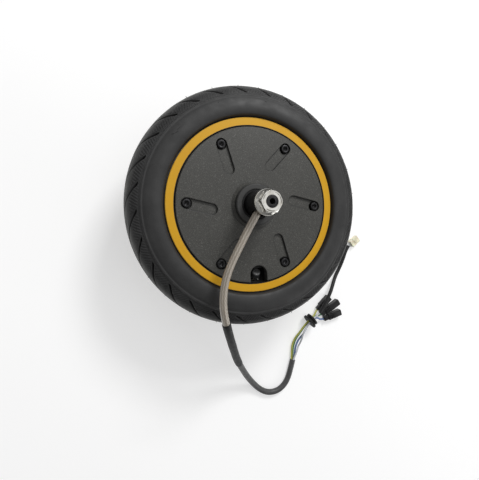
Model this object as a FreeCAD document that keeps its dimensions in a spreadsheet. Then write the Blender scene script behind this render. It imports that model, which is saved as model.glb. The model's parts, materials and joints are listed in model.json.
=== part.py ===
"""Hub motor wheel: a direct-drive scooter wheel with its fixed axle, stator, bearings and motor cable.

Frame: millimetres, origin at the wheel's centre, +Z along the axle towards the side where the cable leaves,
X and Y in the wheel's plane. The rotor (tyre, shell, covers, magnets) turns about Z; the axle stands still.
"""
import FreeCAD, Part
import math
import os
import Sketcher
from FreeCAD import Placement, Rotation, Vector

# ----------------------------------------------------------------------------------------------------------
# Driving dimensions. Each one is a cell of the sheet, with the name as its alias.
# "height" is a distance from the wheel's mid plane along Z, "radius" a distance from the axle's line.
# ----------------------------------------------------------------------------------------------------------
SIZES = {
    # tyre
    "tyre_radius": 125.3, "tyre_crown_height": 9, "tyre_tread_radius": 122.3, "tyre_tread_height": 17.5,
    "tyre_shoulder_radius": 110.5, "tyre_shoulder_height": 25.2, "tyre_wall_radius": 103.5,
    "tyre_wall_height": 28.8,
    "tyre_bulge_radius": 95, "tyre_bulge_height": 28.8, "tyre_lip_radius": 89.6, "tyre_lip_height": 24.6,
    "tyre_toe_height": 11, "tyre_inner_radius": 88, "tyre_inner_toe_height": 12.5, "tyre_cavity_radius": 94,
    "tyre_cavity_height": 23.5, "tyre_cavity_shoulder_radius": 107, "tyre_cavity_shoulder_height": 20.5,
    "tyre_cavity_crown_radius": 117, "tyre_cavity_crown_height": 9, "tyre_round": 6,
    # shell
    "shell_bore_radius": 63.5, "shell_face_height": 17.5, "shell_recess_radius": 80.2, "flange_height": 23.9,
    "flange_radius": 88.6, "flange_edge": 0.5, "flange_back_height": 20.9, "bead_radius": 82.5,
    "bead_inner_height": 10, "well_radius": 73.5, "well_height": 2.5,
    # covers
    "cover_radius": 79.4, "cover_height": 24.5, "cover_edge": 0.7, "spigot_radius": 63.3,
    "spigot_inner_radius": 59.5,
    "spigot_height": 14.6, "seal_groove_low": 15, "seal_groove_high": 16.4, "seal_groove_radius": 62,
    "seal_squeeze": 0.15, "seal_gap": 0.05,
    "plate_inner_height": 19.5, "housing_radius": 23, "bearing_radius": 17.5, "bearing_high": 28.5,
    "dust_bore_radius": 15.5, "boss_height": 32, "boss_radius": 21, "boss_edge": 1, "boss_neck_height": 27,
    "boss_foot_radius": 24,
    # cover screws
    "screw_circle_radius": 68.4, "screw_radius": 2.5, "screw_hole_radius": 2.7, "screw_low": 4,
    "screw_head_radius": 4.25, "screw_head_height": 5, "screw_seat_height": 19.5, "screw_recess_radius": 5.5,
    "screw_socket_across": 4, "screw_socket_depth": 2.6, "screw_hole_low": 3,
    "slot_length": 25.5, "slot_width": 11, "slot_depth": 2.4, "cutter_reach": 40,
    # valve and its pocket
    "pocket_half_width": 9, "pocket_floor_height": 17.3, "pocket_arch_radius": 71,
    "pocket_inner_radius": 65.5,
    "pocket_outer_radius": 80, "pocket_shelf_height": 13, "pocket_wall": 3, "pocket_low": 6.3,
    "pocket_high": 5.3,
    "valve_mid_radius": 78, "valve_mid_height": 6.25, "valve_hole_radius": 4.15,
    "valve_hole_half_length": 4,
    "valve_stem_radius": 3.85, "valve_flange_radius": 5.4, "valve_flange_length": 2.2,
    "valve_bore_radius": 2.4,
    "valve_stem_end": 12, "valve_nut_across": 10, "valve_nut_length": 2.4, "valve_cap_radius": 4.75,
    "valve_cap_start": 6, "valve_cap_end": 14, "valve_cap_bore_radius": 4.05, "valve_cap_bore_end": 13,
    "core_bore_radius": 1.2, "core_start": 3, "core_end": 9, "pin_radius": 0.85, "pin_start": 1,
    "pin_end": 12.3,
    # magnetic circuit
    "flux_inner_radius": 60, "flux_height": 14, "magnet_count": 30, "magnet_radius": 57,
    "magnet_thickness": 2.75,
    "magnet_width": 10.6, "tooth_count": 27, "core_ring_radius": 36, "core_yoke_radius": 42,
    "core_height": 12.5,
    "tooth_width": 5, "tooth_end_radius": 54, "tip_start_radius": 53, "tip_end_radius": 56.2,
    "tip_width": 10.6,
    "coil_start_radius": 43.2, "coil_end_radius": 52.7, "coil_width": 9.2, "coil_height": 15.6,
    "coil_gap": 0.1,
    "insulator_inner_radius": 36.4, "insulator_radius": 42.6, "insulator_height": 14,
    # spider
    "spider_bore_radius": 11, "spider_hub_radius": 16, "spider_hub_height": 13, "spider_web_height": 3,
    "spider_rim_radius": 33, "spider_rim_height": 12, "spider_hole_radius": 5.5, "spider_hole_circle": 24.5,
    "spider_hole_count": 6,
    # sensor board
    "board_inner_radius": 29, "board_outer_radius": 41.5, "board_angle": 110, "board_turn": 35,
    "board_thickness": 1.6,
    "sensor_circle_radius": 38, "sensor_length": 4, "sensor_width": 3, "sensor_thickness": 1.5,
    # bearings (17 x 35 x 10)
    "bearing_low": 18.5, "race_inner_radius": 8.5, "race_inner_outer_radius": 11,
    "race_outer_inner_radius": 15,
    "ball_circle_radius": 13, "ball_radius": 2.38, "groove_radius": 2.45, "ball_count": 9,
    "ball_pocket_radius": 2.55,
    "cage_inner_radius": 12.2, "cage_outer_radius": 13.8, "cage_half_height": 3.2,
    "shield_inner_radius": 11.4,
    "shield_outer_radius": 15, "shield_thickness": 0.6, "shield_inset": 0.2,
    "dust_inner_radius": 13.3, "dust_low": 28.9, "dust_high": 31.4,
    # axle and its hardware
    "axle_radius": 8.5, "axle_shoulder_radius": 11, "axle_end_height": 74, "thread_radius": 6,
    "thread_edge": 0.65,
    "axle_front_step": 59.5, "axle_back_step": 58, "axle_flat_start": 44.5, "axle_flat_across": 12,
    "lead_bore_radius": 4.4, "lead_bore_low": 14, "lead_bore_high": 54, "lead_exit_radius": 4.3,
    "lead_entry_radius": 2, "lead_entry_height": 15.6, "centre_hole_radius": 2.35, "centre_hole_depth": 9,
    "cable_exit_height": 50, "sleeve_radius": 13, "sleeve_step_height": 29.4, "sleeve_hole_radius": 5.2,
    "washer_radius": 12.5, "washer_hole_radius": 6.3, "washer_thickness": 2, "nut_across": 19,
    "nut_height": 12,
    "nut_face_radius": 9.8, "nut_corner_radius": 11.2, "nut_bevel": 0.8, "nut_flange_radius": 12.2,
    "nut_flange_edge": 1.5, "nut_flange_height": 3.4,
    "lead_bundle_radius": 3.4, "bush_bore_radius": 3, "bush_radius": 4.25, "bush_start": 5.6,
    "bush_flange": 8.75, "bush_flange_radius": 5, "bush_mouth_radius": 3.85, "bush_seat": 9.2,
    "bush_end": 10.2,
    # cable
    "sheath_diameter": 7.5, "shrink_diameter": 8.6, "jacket_diameter": 7.5, "wire_diameter": 2.4,
    "hall_cable_diameter": 5, "pigtail_diameter": 1.2, "pigtail_count": 5, "pigtail_length": 4,
    "grommet_bore_radius": 3.3, "grommet_neck_radius": 7, "grommet_flange_radius": 10,
    "grommet_small_radius": 8.6,
    "grommet_flange": 2.2, "grommet_neck": 2.4,
    "housing_width": 8.5, "housing_tail_width": 6.4, "housing_tail_length": 7,
    "housing_mouth_radius": 3, "housing_mouth_depth": 9, "bullet_radius": 1.75, "bullet_length": 7,
    "plug_width": 10, "plug_length": 14, "plug_height": 7, "plug_wall": 1, "plug_mouth_depth": 6,
    "contact_size": 0.8, "contact_length": 5, "contact_pitch": 1.7, "pigtail_root_pitch": 0.95,
    "pigtail_root_start": 0.9, "pigtail_root_drop": 0.4, "pigtail_gap": 0.35,
}

COVER_SCREW_COUNT = 6
SLOT_TURN = 168            # degrees from the screw's own direction to the direction in which its slot runs
NUT_TURN = -2              # degrees, how the axle nut happens to stand
VALVE_TURN = -86           # degrees, where the valve stands on the wheel
CABLE_TURN = -121          # degrees, the way the cable leaves the axle
GROMMET_BASE = Vector(109, -150.3, -63.95)
GROMMET_TURN = 38          # degrees, the way the wires run through the bush that is threaded on them
FLOOR = -74                # what the axle's lower end and the cable lie on

# Routes of the cable and its wires: corner points in millimetres, chosen along the way each one lies.
# The first route is the whole main cable, from the exit in the sleeve to the cut end of its jacket.
MAIN_ROUTE = [
    (-4.8, -8, 50), (-12.9, -21.4, 50), (-20.9, -36.9, 49.5), (-28.4, -52.3, 48), (-34.2, -66.5, 46.5),
    (-37, -80.8, 45), (-37.5, -95.2, 44), (-35, -108.5, 41), (-30, -122.4, 33), (-23, -138, 19),
    (-15, -154.1, 2), (-6.2, -171.3, -17), (4.5, -188.2, -35), (17, -207, -53), (29.6, -223.2, -65.5),
    (39.5, -233.4, -70), (49, -239.2, -70.2), (58.9, -240.6, -70.2), (68.1, -238.3, -70.2), (75.6, -232.5,
                                                                                             -70.2),
    (80.6, -224.4, -70.2), (84, -213.9, -70.2), (87.4, -200.9, -70.2),
]
SHEATH_END = 7             # the pale sheath ends half way along the run that starts at this corner
SHRINK_END = 11            # the heat-shrink ends half way along the run that starts at this corner
YELLOW_ROUTE = [
    (85.8, -200.2, -70.2), (86.2, -190.3, -71), (87.2, -180.8, -71.4), (91, -171.3, -69.8),
    (97.2, -163, -67.2), (104, -152, -64), (116, -142.6, -64), (119.2, -140.3, -66.6),
    (121.7, -138.2, -69.1), (124.4, -136.1, -69.7),
]
GREEN_ROUTE = [
    (87.5, -200.6, -72), (88.5, -190.8, -72.2), (89.9, -181.6, -72.6), (93.5, -172.5, -71.6),
    (99, -164.6, -69.6), (105.1, -153.4, -65.8), (117.1, -144, -65.8), (121.6, -143.6, -68),
    (126.3, -144.9, -69.7), (130.2, -142.8, -69.7),
]
BLUE_ROUTE = [
    (89.2, -201, -70.2), (90.5, -191.2, -70.2), (92, -182.2, -69.9), (96.4, -173.9, -70),
    (102.8, -167, -67.8), (106.2, -154.8, -64), (118.2, -145.4, -64), (123.6, -146.6, -66.4),
    (129, -150.2, -69.5), (134.2, -149.4, -69.7),
]
GREY_ROUTE = [
    (87.5, -200.6, -68.4), (91.5, -191.5, -66.6), (95.4, -183.4, -69.4), (98.2, -176, -66.4),
    (99.3, -166.4, -62.9), (105.1, -153.4, -62), (117.1, -144, -62), (123.8, -138.7, -61.6),
]
HALL_ROUTE = [
    (124.1, -138.4, -61.6), (129.5, -130.5, -61.2), (134.5, -121.5, -60.8), (140.5, -111, -61.6),
    (146.8, -101, -66), (153, -91.5, -70.4), (159, -82, -71.4), (163.6, -73.4, -71.4),
    (167, -65.4, -71.4), (169.6, -58.6, -71.4), (172, -53.2, -71.4), (175, -48.8, -71.4),
]
# Where each phase connector's tail starts, the way it points and its length.
CONNECTORS = {
    "phase_connector_a": (Vector(124.7, -135.8, -69.7), 42, 24),
    "phase_connector_b": (Vector(130.5, -142.6, -69.7), 31, 31),
    "phase_connector_c": (Vector(134.5, -149.3, -69.7), 17, 27),
}
HALL_PLUG_TURN = 38        # degrees, the way the small connector points

doc = FreeCAD.newDocument("hub_motor_wheel")
sheet = doc.addObject("Spreadsheet::Sheet", "Sizes")
for row, (alias, number) in enumerate(SIZES.items(), start=1):
    sheet.set(f"A{row}", alias)
    sheet.set(f"B{row}", str(number))
    sheet.setAlias(f"B{row}", alias)
doc.recompute()

NODES = {}


# ----------------------------------------------------------------------------------------------------------
# Helpers. An "expression" is a sum of named sizes and numbers, such as "cover_height - slot_depth".
# ----------------------------------------------------------------------------------------------------------
def terms(expression):
    """The words of an expression with their signs."""
    sign = 1
    for word in str(expression).split():
        if word in "+-":
            sign = 1 if word == "+" else -1
            continue
        if word.startswith("-"):
            sign, word = -sign, word[1:]
        yield sign, word
        sign = 1


def amount(expression):
    """An expression's value in millimetres."""
    return sum(sign * float(SIZES.get(word, word if word not in SIZES else 0)) for sign,
               word in terms(expression))


def bound(expression):
    """The same expression as the sheet's cells, for setExpression."""
    text = ""
    for sign, word in terms(expression):
        text += (" + " if sign > 0 else " - ") + ("Sizes." + word if word in SIZES else word)
    return "0" + text


def node(name, item):
    """Keep an object as the sub-part of this name."""
    item.Label = name
    NODES[name] = item
    return item


def along(direction, base=Vector(0, 0, 0)):
    """The placement that turns +Z to a direction and moves the origin to base."""
    return Placement(base, Rotation(Vector(0, 0, 1), direction))


def spun(degrees, placement=Placement()):
    """A placement turned about the wheel's axis."""
    return Placement(Vector(0, 0, 0), Rotation(Vector(0, 0, 1), degrees)).multiply(placement)


def heading(degrees):
    """The unit vector in the wheel's plane at an angle from +X."""
    return Vector(math.cos(math.radians(degrees)), math.sin(math.radians(degrees)), 0)


def turned(name, outline, placement=Placement()):
    """A lathe-turned piece: a closed outline of (radius, height) corners, revolved about Z."""
    body = doc.addObject("PartDesign::Body", name + "_body")
    sketch = body.newObject("Sketcher::SketchObject", name + "_outline")
    plane = next(item for item in body.Origin.OriginFeatures if item.Role == "XZ_Plane")
    sketch.AttachmentSupport = [(plane, "")]
    sketch.MapMode = "FlatFace"
    corners = [(amount(radius), amount(height)) for radius, height in outline]
    following = corners[1:] + corners[:1]
    sketch.addGeometry([Part.LineSegment(Vector(*a, 0), Vector(*b, 0)) for a, b in zip(corners, following)])
    count = len(corners)
    sketch.addConstraint([Sketcher.Constraint("Coincident", i, 2, (i + 1) % count, 1) for i in range(count)])
    for i, (corner, expressions) in enumerate(zip(corners, outline)):
        for value, expression, kind, axis in zip(corner, expressions, ("DistanceX", "DistanceY"), (-2, -1)):
            if value == 0:
                sketch.addConstraint(Sketcher.Constraint("PointOnObject", i, 1, axis))
                continue
            index = sketch.addConstraint(Sketcher.Constraint(kind, -1, 1, i, 1, value))
            sketch.setExpression(f"Constraints[{index}]", bound(expression))
    revolution = body.newObject("PartDesign::Revolution", name + "_revolution")
    revolution.Profile = sketch
    revolution.ReferenceAxis = (sketch, ["V_Axis"])
    revolution.Angle = 360
    sketch.Visibility = False
    body.Placement = placement
    return body


def rounded(body, radius, circles):
    """Round the circular edges of a turned body that have one of the given (radius, height) pairs."""
    doc.recompute()
    wanted = [(amount(circle_radius), amount(height)) for circle_radius, height in circles]
    edges = []
    for number, edge in enumerate(body.Tip.Shape.Edges, start=1):
        if not isinstance(edge.Curve, Part.Circle):
            continue
        found = (edge.Curve.Radius, edge.Curve.Center.z)
        if any(math.dist(found, pair) < 0.01 for pair in wanted):
            edges.append(f"Edge{number}")
    sharp = body.Tip
    fillet = body.newObject("PartDesign::Fillet", body.Name + "_round")
    fillet.Base = (sharp, edges)
    fillet.setExpression("Radius", bound(radius))
    body.Tip = fillet
    return body


def cylinder(name, radius, height, placement=Placement()):
    """A round bar that stands on its placement's origin."""
    item = doc.addObject("Part::Cylinder", name)
    item.setExpression("Radius", bound(radius))
    item.setExpression("Height", bound(height))
    item.Placement = placement
    return item


def block(name, low, high, placement=Placement()):
    """A box between two corners given as expressions, then placed."""
    item = doc.addObject("Part::Box", name)
    for side, low_text, high_text in zip(("Length", "Width", "Height"), low, high):
        negated = " ".join(f"{'-' if sign > 0 else '+'} {word}" for sign, word in terms(low_text))
        item.setExpression(side, bound(f"{high_text} {negated}"))
    corner = Placement(Vector(*(amount(text) for text in low)), Rotation())
    item.Placement = placement.multiply(corner)
    return item


def prism(name, across, height, placement=Placement()):
    """A hexagonal bar of the given width across flats."""
    item = doc.addObject("Part::Prism", name)
    item.Polygon = 6
    item.setExpression("Circumradius", f"({bound(across)}) / sqrt(3)")
    item.setExpression("Height", bound(height))
    item.Placement = placement
    return item


def fused(name, pieces):
    """One solid, or one tool, from several."""
    item = doc.addObject("Part::MultiFuse", name)
    item.Shapes = pieces
    return item


def cut(name, base, tools):
    """A piece with one or more tools taken away."""
    item = doc.addObject("Part::Cut", name)
    item.Base = base
    item.Tool = tools[0] if len(tools) == 1 else fused(name + "_tools", tools)
    return item


def common(name, pieces):
    """What several pieces share."""
    item = doc.addObject("Part::MultiCommon", name)
    item.Shapes = pieces
    return item


def group(name, pieces):
    """Separate solids of one kind, kept together as one sub-part."""
    item = doc.addObject("Part::Compound", name)
    item.Links = pieces
    return item


def ring(name, inner, outer, low, high, placement=Placement()):
    """A plain turned ring."""
    return turned(name, [(inner, low), (outer, low), (outer, high), (inner, high)], placement)


BACK = Placement(Vector(0, 0, 0), Rotation(Vector(1, 0, 0), 180))      # turns a front piece to the back


# ----------------------------------------------------------------------------------------------------------
# Rotor: tyre, shell, covers
# ----------------------------------------------------------------------------------------------------------
def mirrored(half):
    """An outline's corners for z > 0 followed by the same corners below the mid plane, in reverse."""
    return half + [(radius, " ".join(f"{'-' if sign > 0 else '+'} {word}" for sign, word in terms(height)))
                   for radius, height in reversed(half)]


def make_tyre():
    outside = [
        ("bead_radius", "tyre_toe_height"), ("bead_radius", "flange_back_height"),
        ("tyre_lip_radius", "flange_back_height"), ("tyre_lip_radius", "tyre_lip_height"),
        ("tyre_bulge_radius", "tyre_bulge_height"), ("tyre_wall_radius", "tyre_wall_height"),
        ("tyre_shoulder_radius", "tyre_shoulder_height"), ("tyre_tread_radius", "tyre_tread_height"),
        ("tyre_radius", "tyre_crown_height"),
    ]
    inside = [
        ("tyre_inner_radius", "tyre_inner_toe_height"), ("tyre_cavity_radius", "tyre_cavity_height"),
        ("tyre_cavity_shoulder_radius", "tyre_cavity_shoulder_height"),
        ("tyre_cavity_crown_radius", "tyre_cavity_crown_height"),
    ]
    lower_inside = [(radius, f"-{height}") for radius, height in inside]
    outline = mirrored(outside) + lower_inside + list(reversed(inside))
    tyre = turned("tyre", outline)
    soft = [("tyre_bulge_radius", "tyre_bulge_height"), ("tyre_wall_radius", "tyre_wall_height"),
            ("tyre_tread_radius", "tyre_tread_height"), ("tyre_radius", "tyre_crown_height")]
    node("tyre", rounded(tyre, "tyre_round", soft + [(radius, f"-{height}") for radius, height in soft]))


def screw_spots():
    """The angles of the cover screws."""
    return [360 / COVER_SCREW_COUNT * number for number in range(COVER_SCREW_COUNT)]


def valve_direction():
    """The valve's own axis: it leans inwards from the rim well and out of the pocket."""
    slope = Vector(amount("bead_inner_height - well_height"), 0, amount("bead_radius - well_radius"))
    lean = Vector(-slope.x, 0, slope.z).normalize()
    return Rotation(Vector(0, 0, 1), VALVE_TURN).multVec(lean)


def valve_place():
    """Origin on the slope of the rim well, local Z along the valve, local X across the wheel's radius."""
    middle = heading(VALVE_TURN) * SIZES["valve_mid_radius"] + Vector(0, 0, SIZES["valve_mid_height"])
    across = heading(VALVE_TURN + 90)
    axis = valve_direction()
    return Placement(middle, Rotation(across, axis.cross(across), axis, "ZXY"))


def make_shell():
    half = [
        ("shell_bore_radius", "shell_face_height"), ("shell_recess_radius", "shell_face_height"),
        ("shell_recess_radius", "flange_height"), ("flange_radius - flange_edge", "flange_height"),
        ("flange_radius", "flange_height - flange_edge"), ("flange_radius", "flange_back_height"),
        ("bead_radius", "flange_back_height"), ("bead_radius", "bead_inner_height"), ("well_radius",
                                                                                      "well_height"),
    ]
    blank = turned("shell_blank", mirrored(half))
    tools = []
    for angle in screw_spots():
        for side in (1, -1):
            low = amount("screw_hole_low") if side > 0 else -amount("shell_face_height")
            spot = spun(angle, Placement(Vector(SIZES["screw_circle_radius"], 0, low), Rotation()))
            tools.append(cylinder("shell_screw_hole", "screw_radius",
                                  "shell_face_height - screw_hole_low", spot))
    place = valve_place()
    hole_low = place.multiply(Placement(Vector(0, 0, -SIZES["valve_hole_half_length"]), Rotation()))
    tools.append(cylinder("valve_hole", "valve_hole_radius",
                          "valve_hole_half_length + valve_hole_half_length",
                          hole_low))
    # The pocket follows the valve, but stays clear of the bore on one side and of the bead seat on the other.
    lean = block("pocket_lean", ("0.5 - pocket_half_width", "-pocket_high", "pocket_wall"),
                 ("pocket_half_width - 0.5", "pocket_low", "cutter_reach"), place)
    limit = block("pocket_limit", ("pocket_inner_radius", "-pocket_half_width", "0"),
                  ("pocket_outer_radius", "pocket_half_width", "cutter_reach"), spun(VALVE_TURN))
    tools.append(common("pocket_depth", [lean, limit]))
    tools.append(block("pocket_mouth", ("pocket_inner_radius", "0.5 - pocket_half_width",
                                        "pocket_shelf_height"),
                       ("pocket_outer_radius", "pocket_half_width - 0.5", "shell_face_height + 1"),
                       spun(VALVE_TURN)))
    node("hub_shell", cut("hub_shell", blank, tools))


def make_cover(name, has_pocket, placement):
    outline = [
        ("bearing_radius", "shell_face_height"), ("bearing_radius", "bearing_high"),
        ("dust_bore_radius", "bearing_high"), ("dust_bore_radius", "boss_height"),
        ("boss_radius - boss_edge", "boss_height"), ("boss_radius", "boss_height - boss_edge"),
        ("boss_radius", "boss_neck_height"), ("boss_foot_radius", "cover_height"),
        ("cover_radius - cover_edge", "cover_height"), ("cover_radius", "cover_height - cover_edge"),
        ("cover_radius", "shell_face_height"), ("spigot_radius", "shell_face_height"),
        ("spigot_radius", "seal_groove_high"), ("seal_groove_radius", "seal_groove_high"),
        ("seal_groove_radius", "seal_groove_low"), ("spigot_radius", "seal_groove_low"),
        ("spigot_radius", "spigot_height"), ("spigot_inner_radius", "spigot_height"),
        ("spigot_inner_radius", "plate_inner_height"), ("housing_radius", "plate_inner_height"),
        ("housing_radius", "shell_face_height"),
    ]
    blank = turned(name + "_blank", outline)
    tools = []
    for angle in screw_spots():
        centre = Vector(SIZES["screw_circle_radius"], 0, 0)
        hole = spun(angle, Placement(centre, Rotation()))
        seat = spun(angle, Placement(centre + Vector(0, 0, SIZES["screw_seat_height"]), Rotation()))
        slot = spun(angle, Placement(centre, Rotation(Vector(0, 0, 1), SLOT_TURN)))
        tools.append(cylinder(name + "_hole", "screw_hole_radius", "cutter_reach", hole))
        tools.append(cylinder(name + "_seat", "screw_recess_radius", "cutter_reach", seat))
        tools.append(block(name + "_slot", ("0", f"-{SIZES['slot_width'] / 2}", "cover_height - slot_depth"),
                           ("slot_length", f"{SIZES['slot_width'] / 2}", "cover_height + 1"), slot))
        slot_end = Vector(SIZES["slot_length"], 0, amount("cover_height - slot_depth"))
        end = slot.multiply(Placement(slot_end, Rotation()))
        tools.append(cylinder(name + "_slot_end", f"{SIZES['slot_width'] / 2}", "slot_depth + 1", end))
    if has_pocket:
        arch_base = Vector(SIZES["pocket_arch_radius"], 0, SIZES["pocket_floor_height"])
        arch = spun(VALVE_TURN, Placement(arch_base, Rotation()))
        tools.append(cylinder(name + "_arch", "pocket_half_width", "cutter_reach", arch))
        tools.append(block(name + "_pocket", ("pocket_arch_radius", "-pocket_half_width",
                                              "pocket_floor_height"),
                           ("cover_radius + 3", "pocket_half_width", "cover_height + 3"), spun(VALVE_TURN)))
    cover = cut(name, blank, tools)
    cover.Placement = placement
    node(name, cover)


def make_cover_screws(name, placement):
    screws = []
    for number, angle in enumerate(screw_spots()):
        circle = SIZES["screw_circle_radius"]
        shank_base = Vector(circle, 0, SIZES["screw_low"])
        head_base = Vector(circle, 0, SIZES["screw_seat_height"])
        shank_spot = placement.multiply(spun(angle, Placement(shank_base, Rotation())))
        head_spot = placement.multiply(spun(angle, Placement(head_base, Rotation())))
        lift = Placement(Vector(0, 0, amount("screw_head_height - screw_socket_depth")), Rotation())
        shank = cylinder(f"{name}_shank", "screw_radius", "screw_seat_height - screw_low", shank_spot)
        head = cylinder(f"{name}_head", "screw_head_radius", "screw_head_height", head_spot)
        socket = prism(f"{name}_socket", "screw_socket_across", "screw_socket_depth + 1",
                       head_spot.multiply(lift))
        screws.append(cut(f"{name}_{number}", fused(f"{name}_bar", [shank, head]), [socket]))
    node(name, group(name, screws))


def make_cover_seal(name, placement):
    node(name, ring(name, "seal_groove_radius", "spigot_radius + seal_squeeze", "seal_groove_low + seal_gap",
                    "seal_groove_high - seal_gap", placement))


def make_magnets():
    node("flux_ring", ring("flux_ring", "flux_inner_radius", "shell_bore_radius", "-flux_height",
                           "flux_height"))
    magnets = []
    for number in range(int(SIZES["magnet_count"])):
        half = f"{SIZES['magnet_width'] / 2}"
        magnets.append(block("rotor_magnet", ("magnet_radius", f"-{half}", "-flux_height"),
                             ("magnet_radius + magnet_thickness", half, "flux_height"),
                             spun(360 / SIZES["magnet_count"] * number)))
    node("rotor_magnets", group("rotor_magnets", magnets))


# ----------------------------------------------------------------------------------------------------------
# Valve
# ----------------------------------------------------------------------------------------------------------
def make_valve():
    place = valve_place()
    node("valve_stem", turned("valve_stem", [
        ("valve_bore_radius", "-valve_flange_length"), ("valve_flange_radius", "-valve_flange_length"),
        ("valve_flange_radius", "0"), ("valve_stem_radius", "0"), ("valve_stem_radius", "valve_stem_end"),
        ("valve_bore_radius", "valve_stem_end")], place))
    seat = place.multiply(Placement(Vector(0, 0, SIZES["pocket_wall"]), Rotation()))
    node("valve_nut", cut("valve_nut", prism("valve_nut_bar", "valve_nut_across", "valve_nut_length", seat),
                          [cylinder("valve_nut_bore", "valve_stem_radius", "valve_nut_length", seat)]))
    node("valve_cap", turned("valve_cap", [
        ("valve_cap_bore_radius", "valve_cap_start"), ("valve_cap_radius", "valve_cap_start"),
        ("valve_cap_radius", "valve_cap_end - 0.6"), ("valve_cap_radius - 0.6", "valve_cap_end"),
        ("0", "valve_cap_end"), ("0", "valve_cap_bore_end"), ("valve_cap_bore_radius",
                                                              "valve_cap_bore_end")], place))
    node("valve_core", ring("valve_core", "core_bore_radius", "valve_bore_radius", "core_start",
                            "core_end", place))
    node("valve_core_pin", cylinder("valve_core_pin", "pin_radius", "pin_end - pin_start",
                                    place.multiply(Placement(Vector(0, 0, SIZES["pin_start"]), Rotation()))))


# ----------------------------------------------------------------------------------------------------------
# Bearings and seals
# ----------------------------------------------------------------------------------------------------------
def make_bearing(side, placement):
    middle = (SIZES["bearing_low"] + SIZES["bearing_high"]) / 2
    centre = placement.multiply(Placement(Vector(0, 0, middle), Rotation()))

    def groove(name):
        item = doc.addObject("Part::Torus", name)
        item.setExpression("Radius1", bound("ball_circle_radius"))
        item.setExpression("Radius2", bound("groove_radius"))
        item.Placement = centre
        return item

    name = f"{side}_bearing_outer_race"
    blank = ring(name + "_blank", "race_outer_inner_radius", "bearing_radius", "bearing_low",
                 "bearing_high", placement)
    node(name, cut(name, blank, [groove(name + "_groove")]))
    name = f"{side}_bearing_inner_race"
    blank = ring(name + "_blank", "race_inner_radius", "race_inner_outer_radius", "bearing_low",
                 "bearing_high",
                 placement)
    node(name, cut(name, blank, [groove(name + "_groove")]))

    balls, pockets = [], []
    for number in range(int(SIZES["ball_count"])):
        angle = 360 / SIZES["ball_count"] * (number + 0.5)
        turn = centre.multiply(Placement(Vector(0, 0, 0), Rotation(Vector(0, 0, 1), angle)))
        ball = doc.addObject("Part::Sphere", f"{side}_ball")
        ball.setExpression("Radius", bound("ball_radius"))
        ball.Placement = turn.multiply(Placement(Vector(SIZES["ball_circle_radius"], 0, 0), Rotation()))
        balls.append(ball)
        outwards = Placement(Vector(SIZES["race_inner_outer_radius"], 0, 0), Rotation(Vector(0, 1, 0), 90))
        pockets.append(cylinder(f"{side}_pocket", "ball_pocket_radius",
                                "race_outer_inner_radius - race_inner_outer_radius", turn.multiply(outwards)))
    name = f"{side}_bearing_balls"
    node(name, group(name, balls))
    name = f"{side}_bearing_cage"
    blank = ring(name + "_blank", "cage_inner_radius", "cage_outer_radius", "-cage_half_height",
                 "cage_half_height", centre)
    node(name, cut(name, blank, pockets))

    inner, outer = "shield_inner_radius", "shield_outer_radius"
    name = f"{side}_bearing_shields"
    low = ring(name + "_low", inner, outer, "bearing_low + shield_inset",
               "bearing_low + shield_inset + shield_thickness", placement)
    high = ring(name + "_high", inner, outer, "bearing_high - shield_inset - shield_thickness",
                "bearing_high - shield_inset", placement)
    node(name, group(name, [low, high]))
    name = f"{side}_dust_seal"
    node(name, ring(name, "dust_inner_radius", "dust_bore_radius", "dust_low", "dust_high", placement))


# ----------------------------------------------------------------------------------------------------------
# Stator
# ----------------------------------------------------------------------------------------------------------
def make_spider():
    half = [
        ("spider_bore_radius", "spider_hub_height"), ("spider_hub_radius", "spider_hub_height"),
        ("spider_hub_radius", "spider_web_height"), ("spider_rim_radius", "spider_web_height"),
        ("spider_rim_radius", "spider_rim_height"), ("core_ring_radius", "spider_rim_height"),
    ]
    blank = turned("spider_blank", mirrored(half))
    holes = []
    for number in range(int(SIZES["spider_hole_count"])):
        low = Placement(Vector(SIZES["spider_hole_circle"], 0, -SIZES["spider_web_height"]), Rotation())
        holes.append(cylinder("spider_hole", "spider_hole_radius", "spider_web_height + spider_web_height",
                              spun(360 / SIZES["spider_hole_count"] * number, low)))
    node("stator_spider", cut("stator_spider", blank, holes))


def make_stator():
    pieces = [ring("core_yoke", "core_ring_radius", "core_yoke_radius", "-core_height", "core_height")]
    coils = []
    half_tooth, half_tip = f"{SIZES['tooth_width'] / 2}", f"{SIZES['tip_width'] / 2}"
    half_coil, half_window = f"{SIZES['coil_width'] / 2}", f"{SIZES['tooth_width'] / 2 + SIZES['coil_gap']}"
    for number in range(int(SIZES["tooth_count"])):
        turn = spun(360 / SIZES["tooth_count"] * number)
        pieces.append(block("tooth", ("core_yoke_radius - 1", f"-{half_tooth}", "-core_height"),
                            ("tooth_end_radius", half_tooth, "core_height"), turn))
        pieces.append(block("tooth_tip", ("tip_start_radius", f"-{half_tip}", "-core_height"),
                            ("tip_end_radius", half_tip, "core_height"), turn))
        coil = block("coil_block", ("coil_start_radius", f"-{half_coil}", "-coil_height"),
                     ("coil_end_radius", half_coil, "coil_height"), turn)
        window = block("coil_window", ("coil_start_radius - 1", f"-{half_window}", "-core_height - coil_gap"),
                       ("coil_end_radius + 1", half_window, "core_height + coil_gap"), turn)
        coils.append(cut(f"coil_{number}", coil, [window]))
    node("stator_core", fused("stator_core", pieces))
    node("stator_windings", group("stator_windings", coils))
    rings = [ring("end_insulator", "insulator_inner_radius", "insulator_radius", "core_height",
                  "insulator_height", turn)
             for turn in (Placement(), BACK)]
    node("end_insulators", group("end_insulators", rings))


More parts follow.
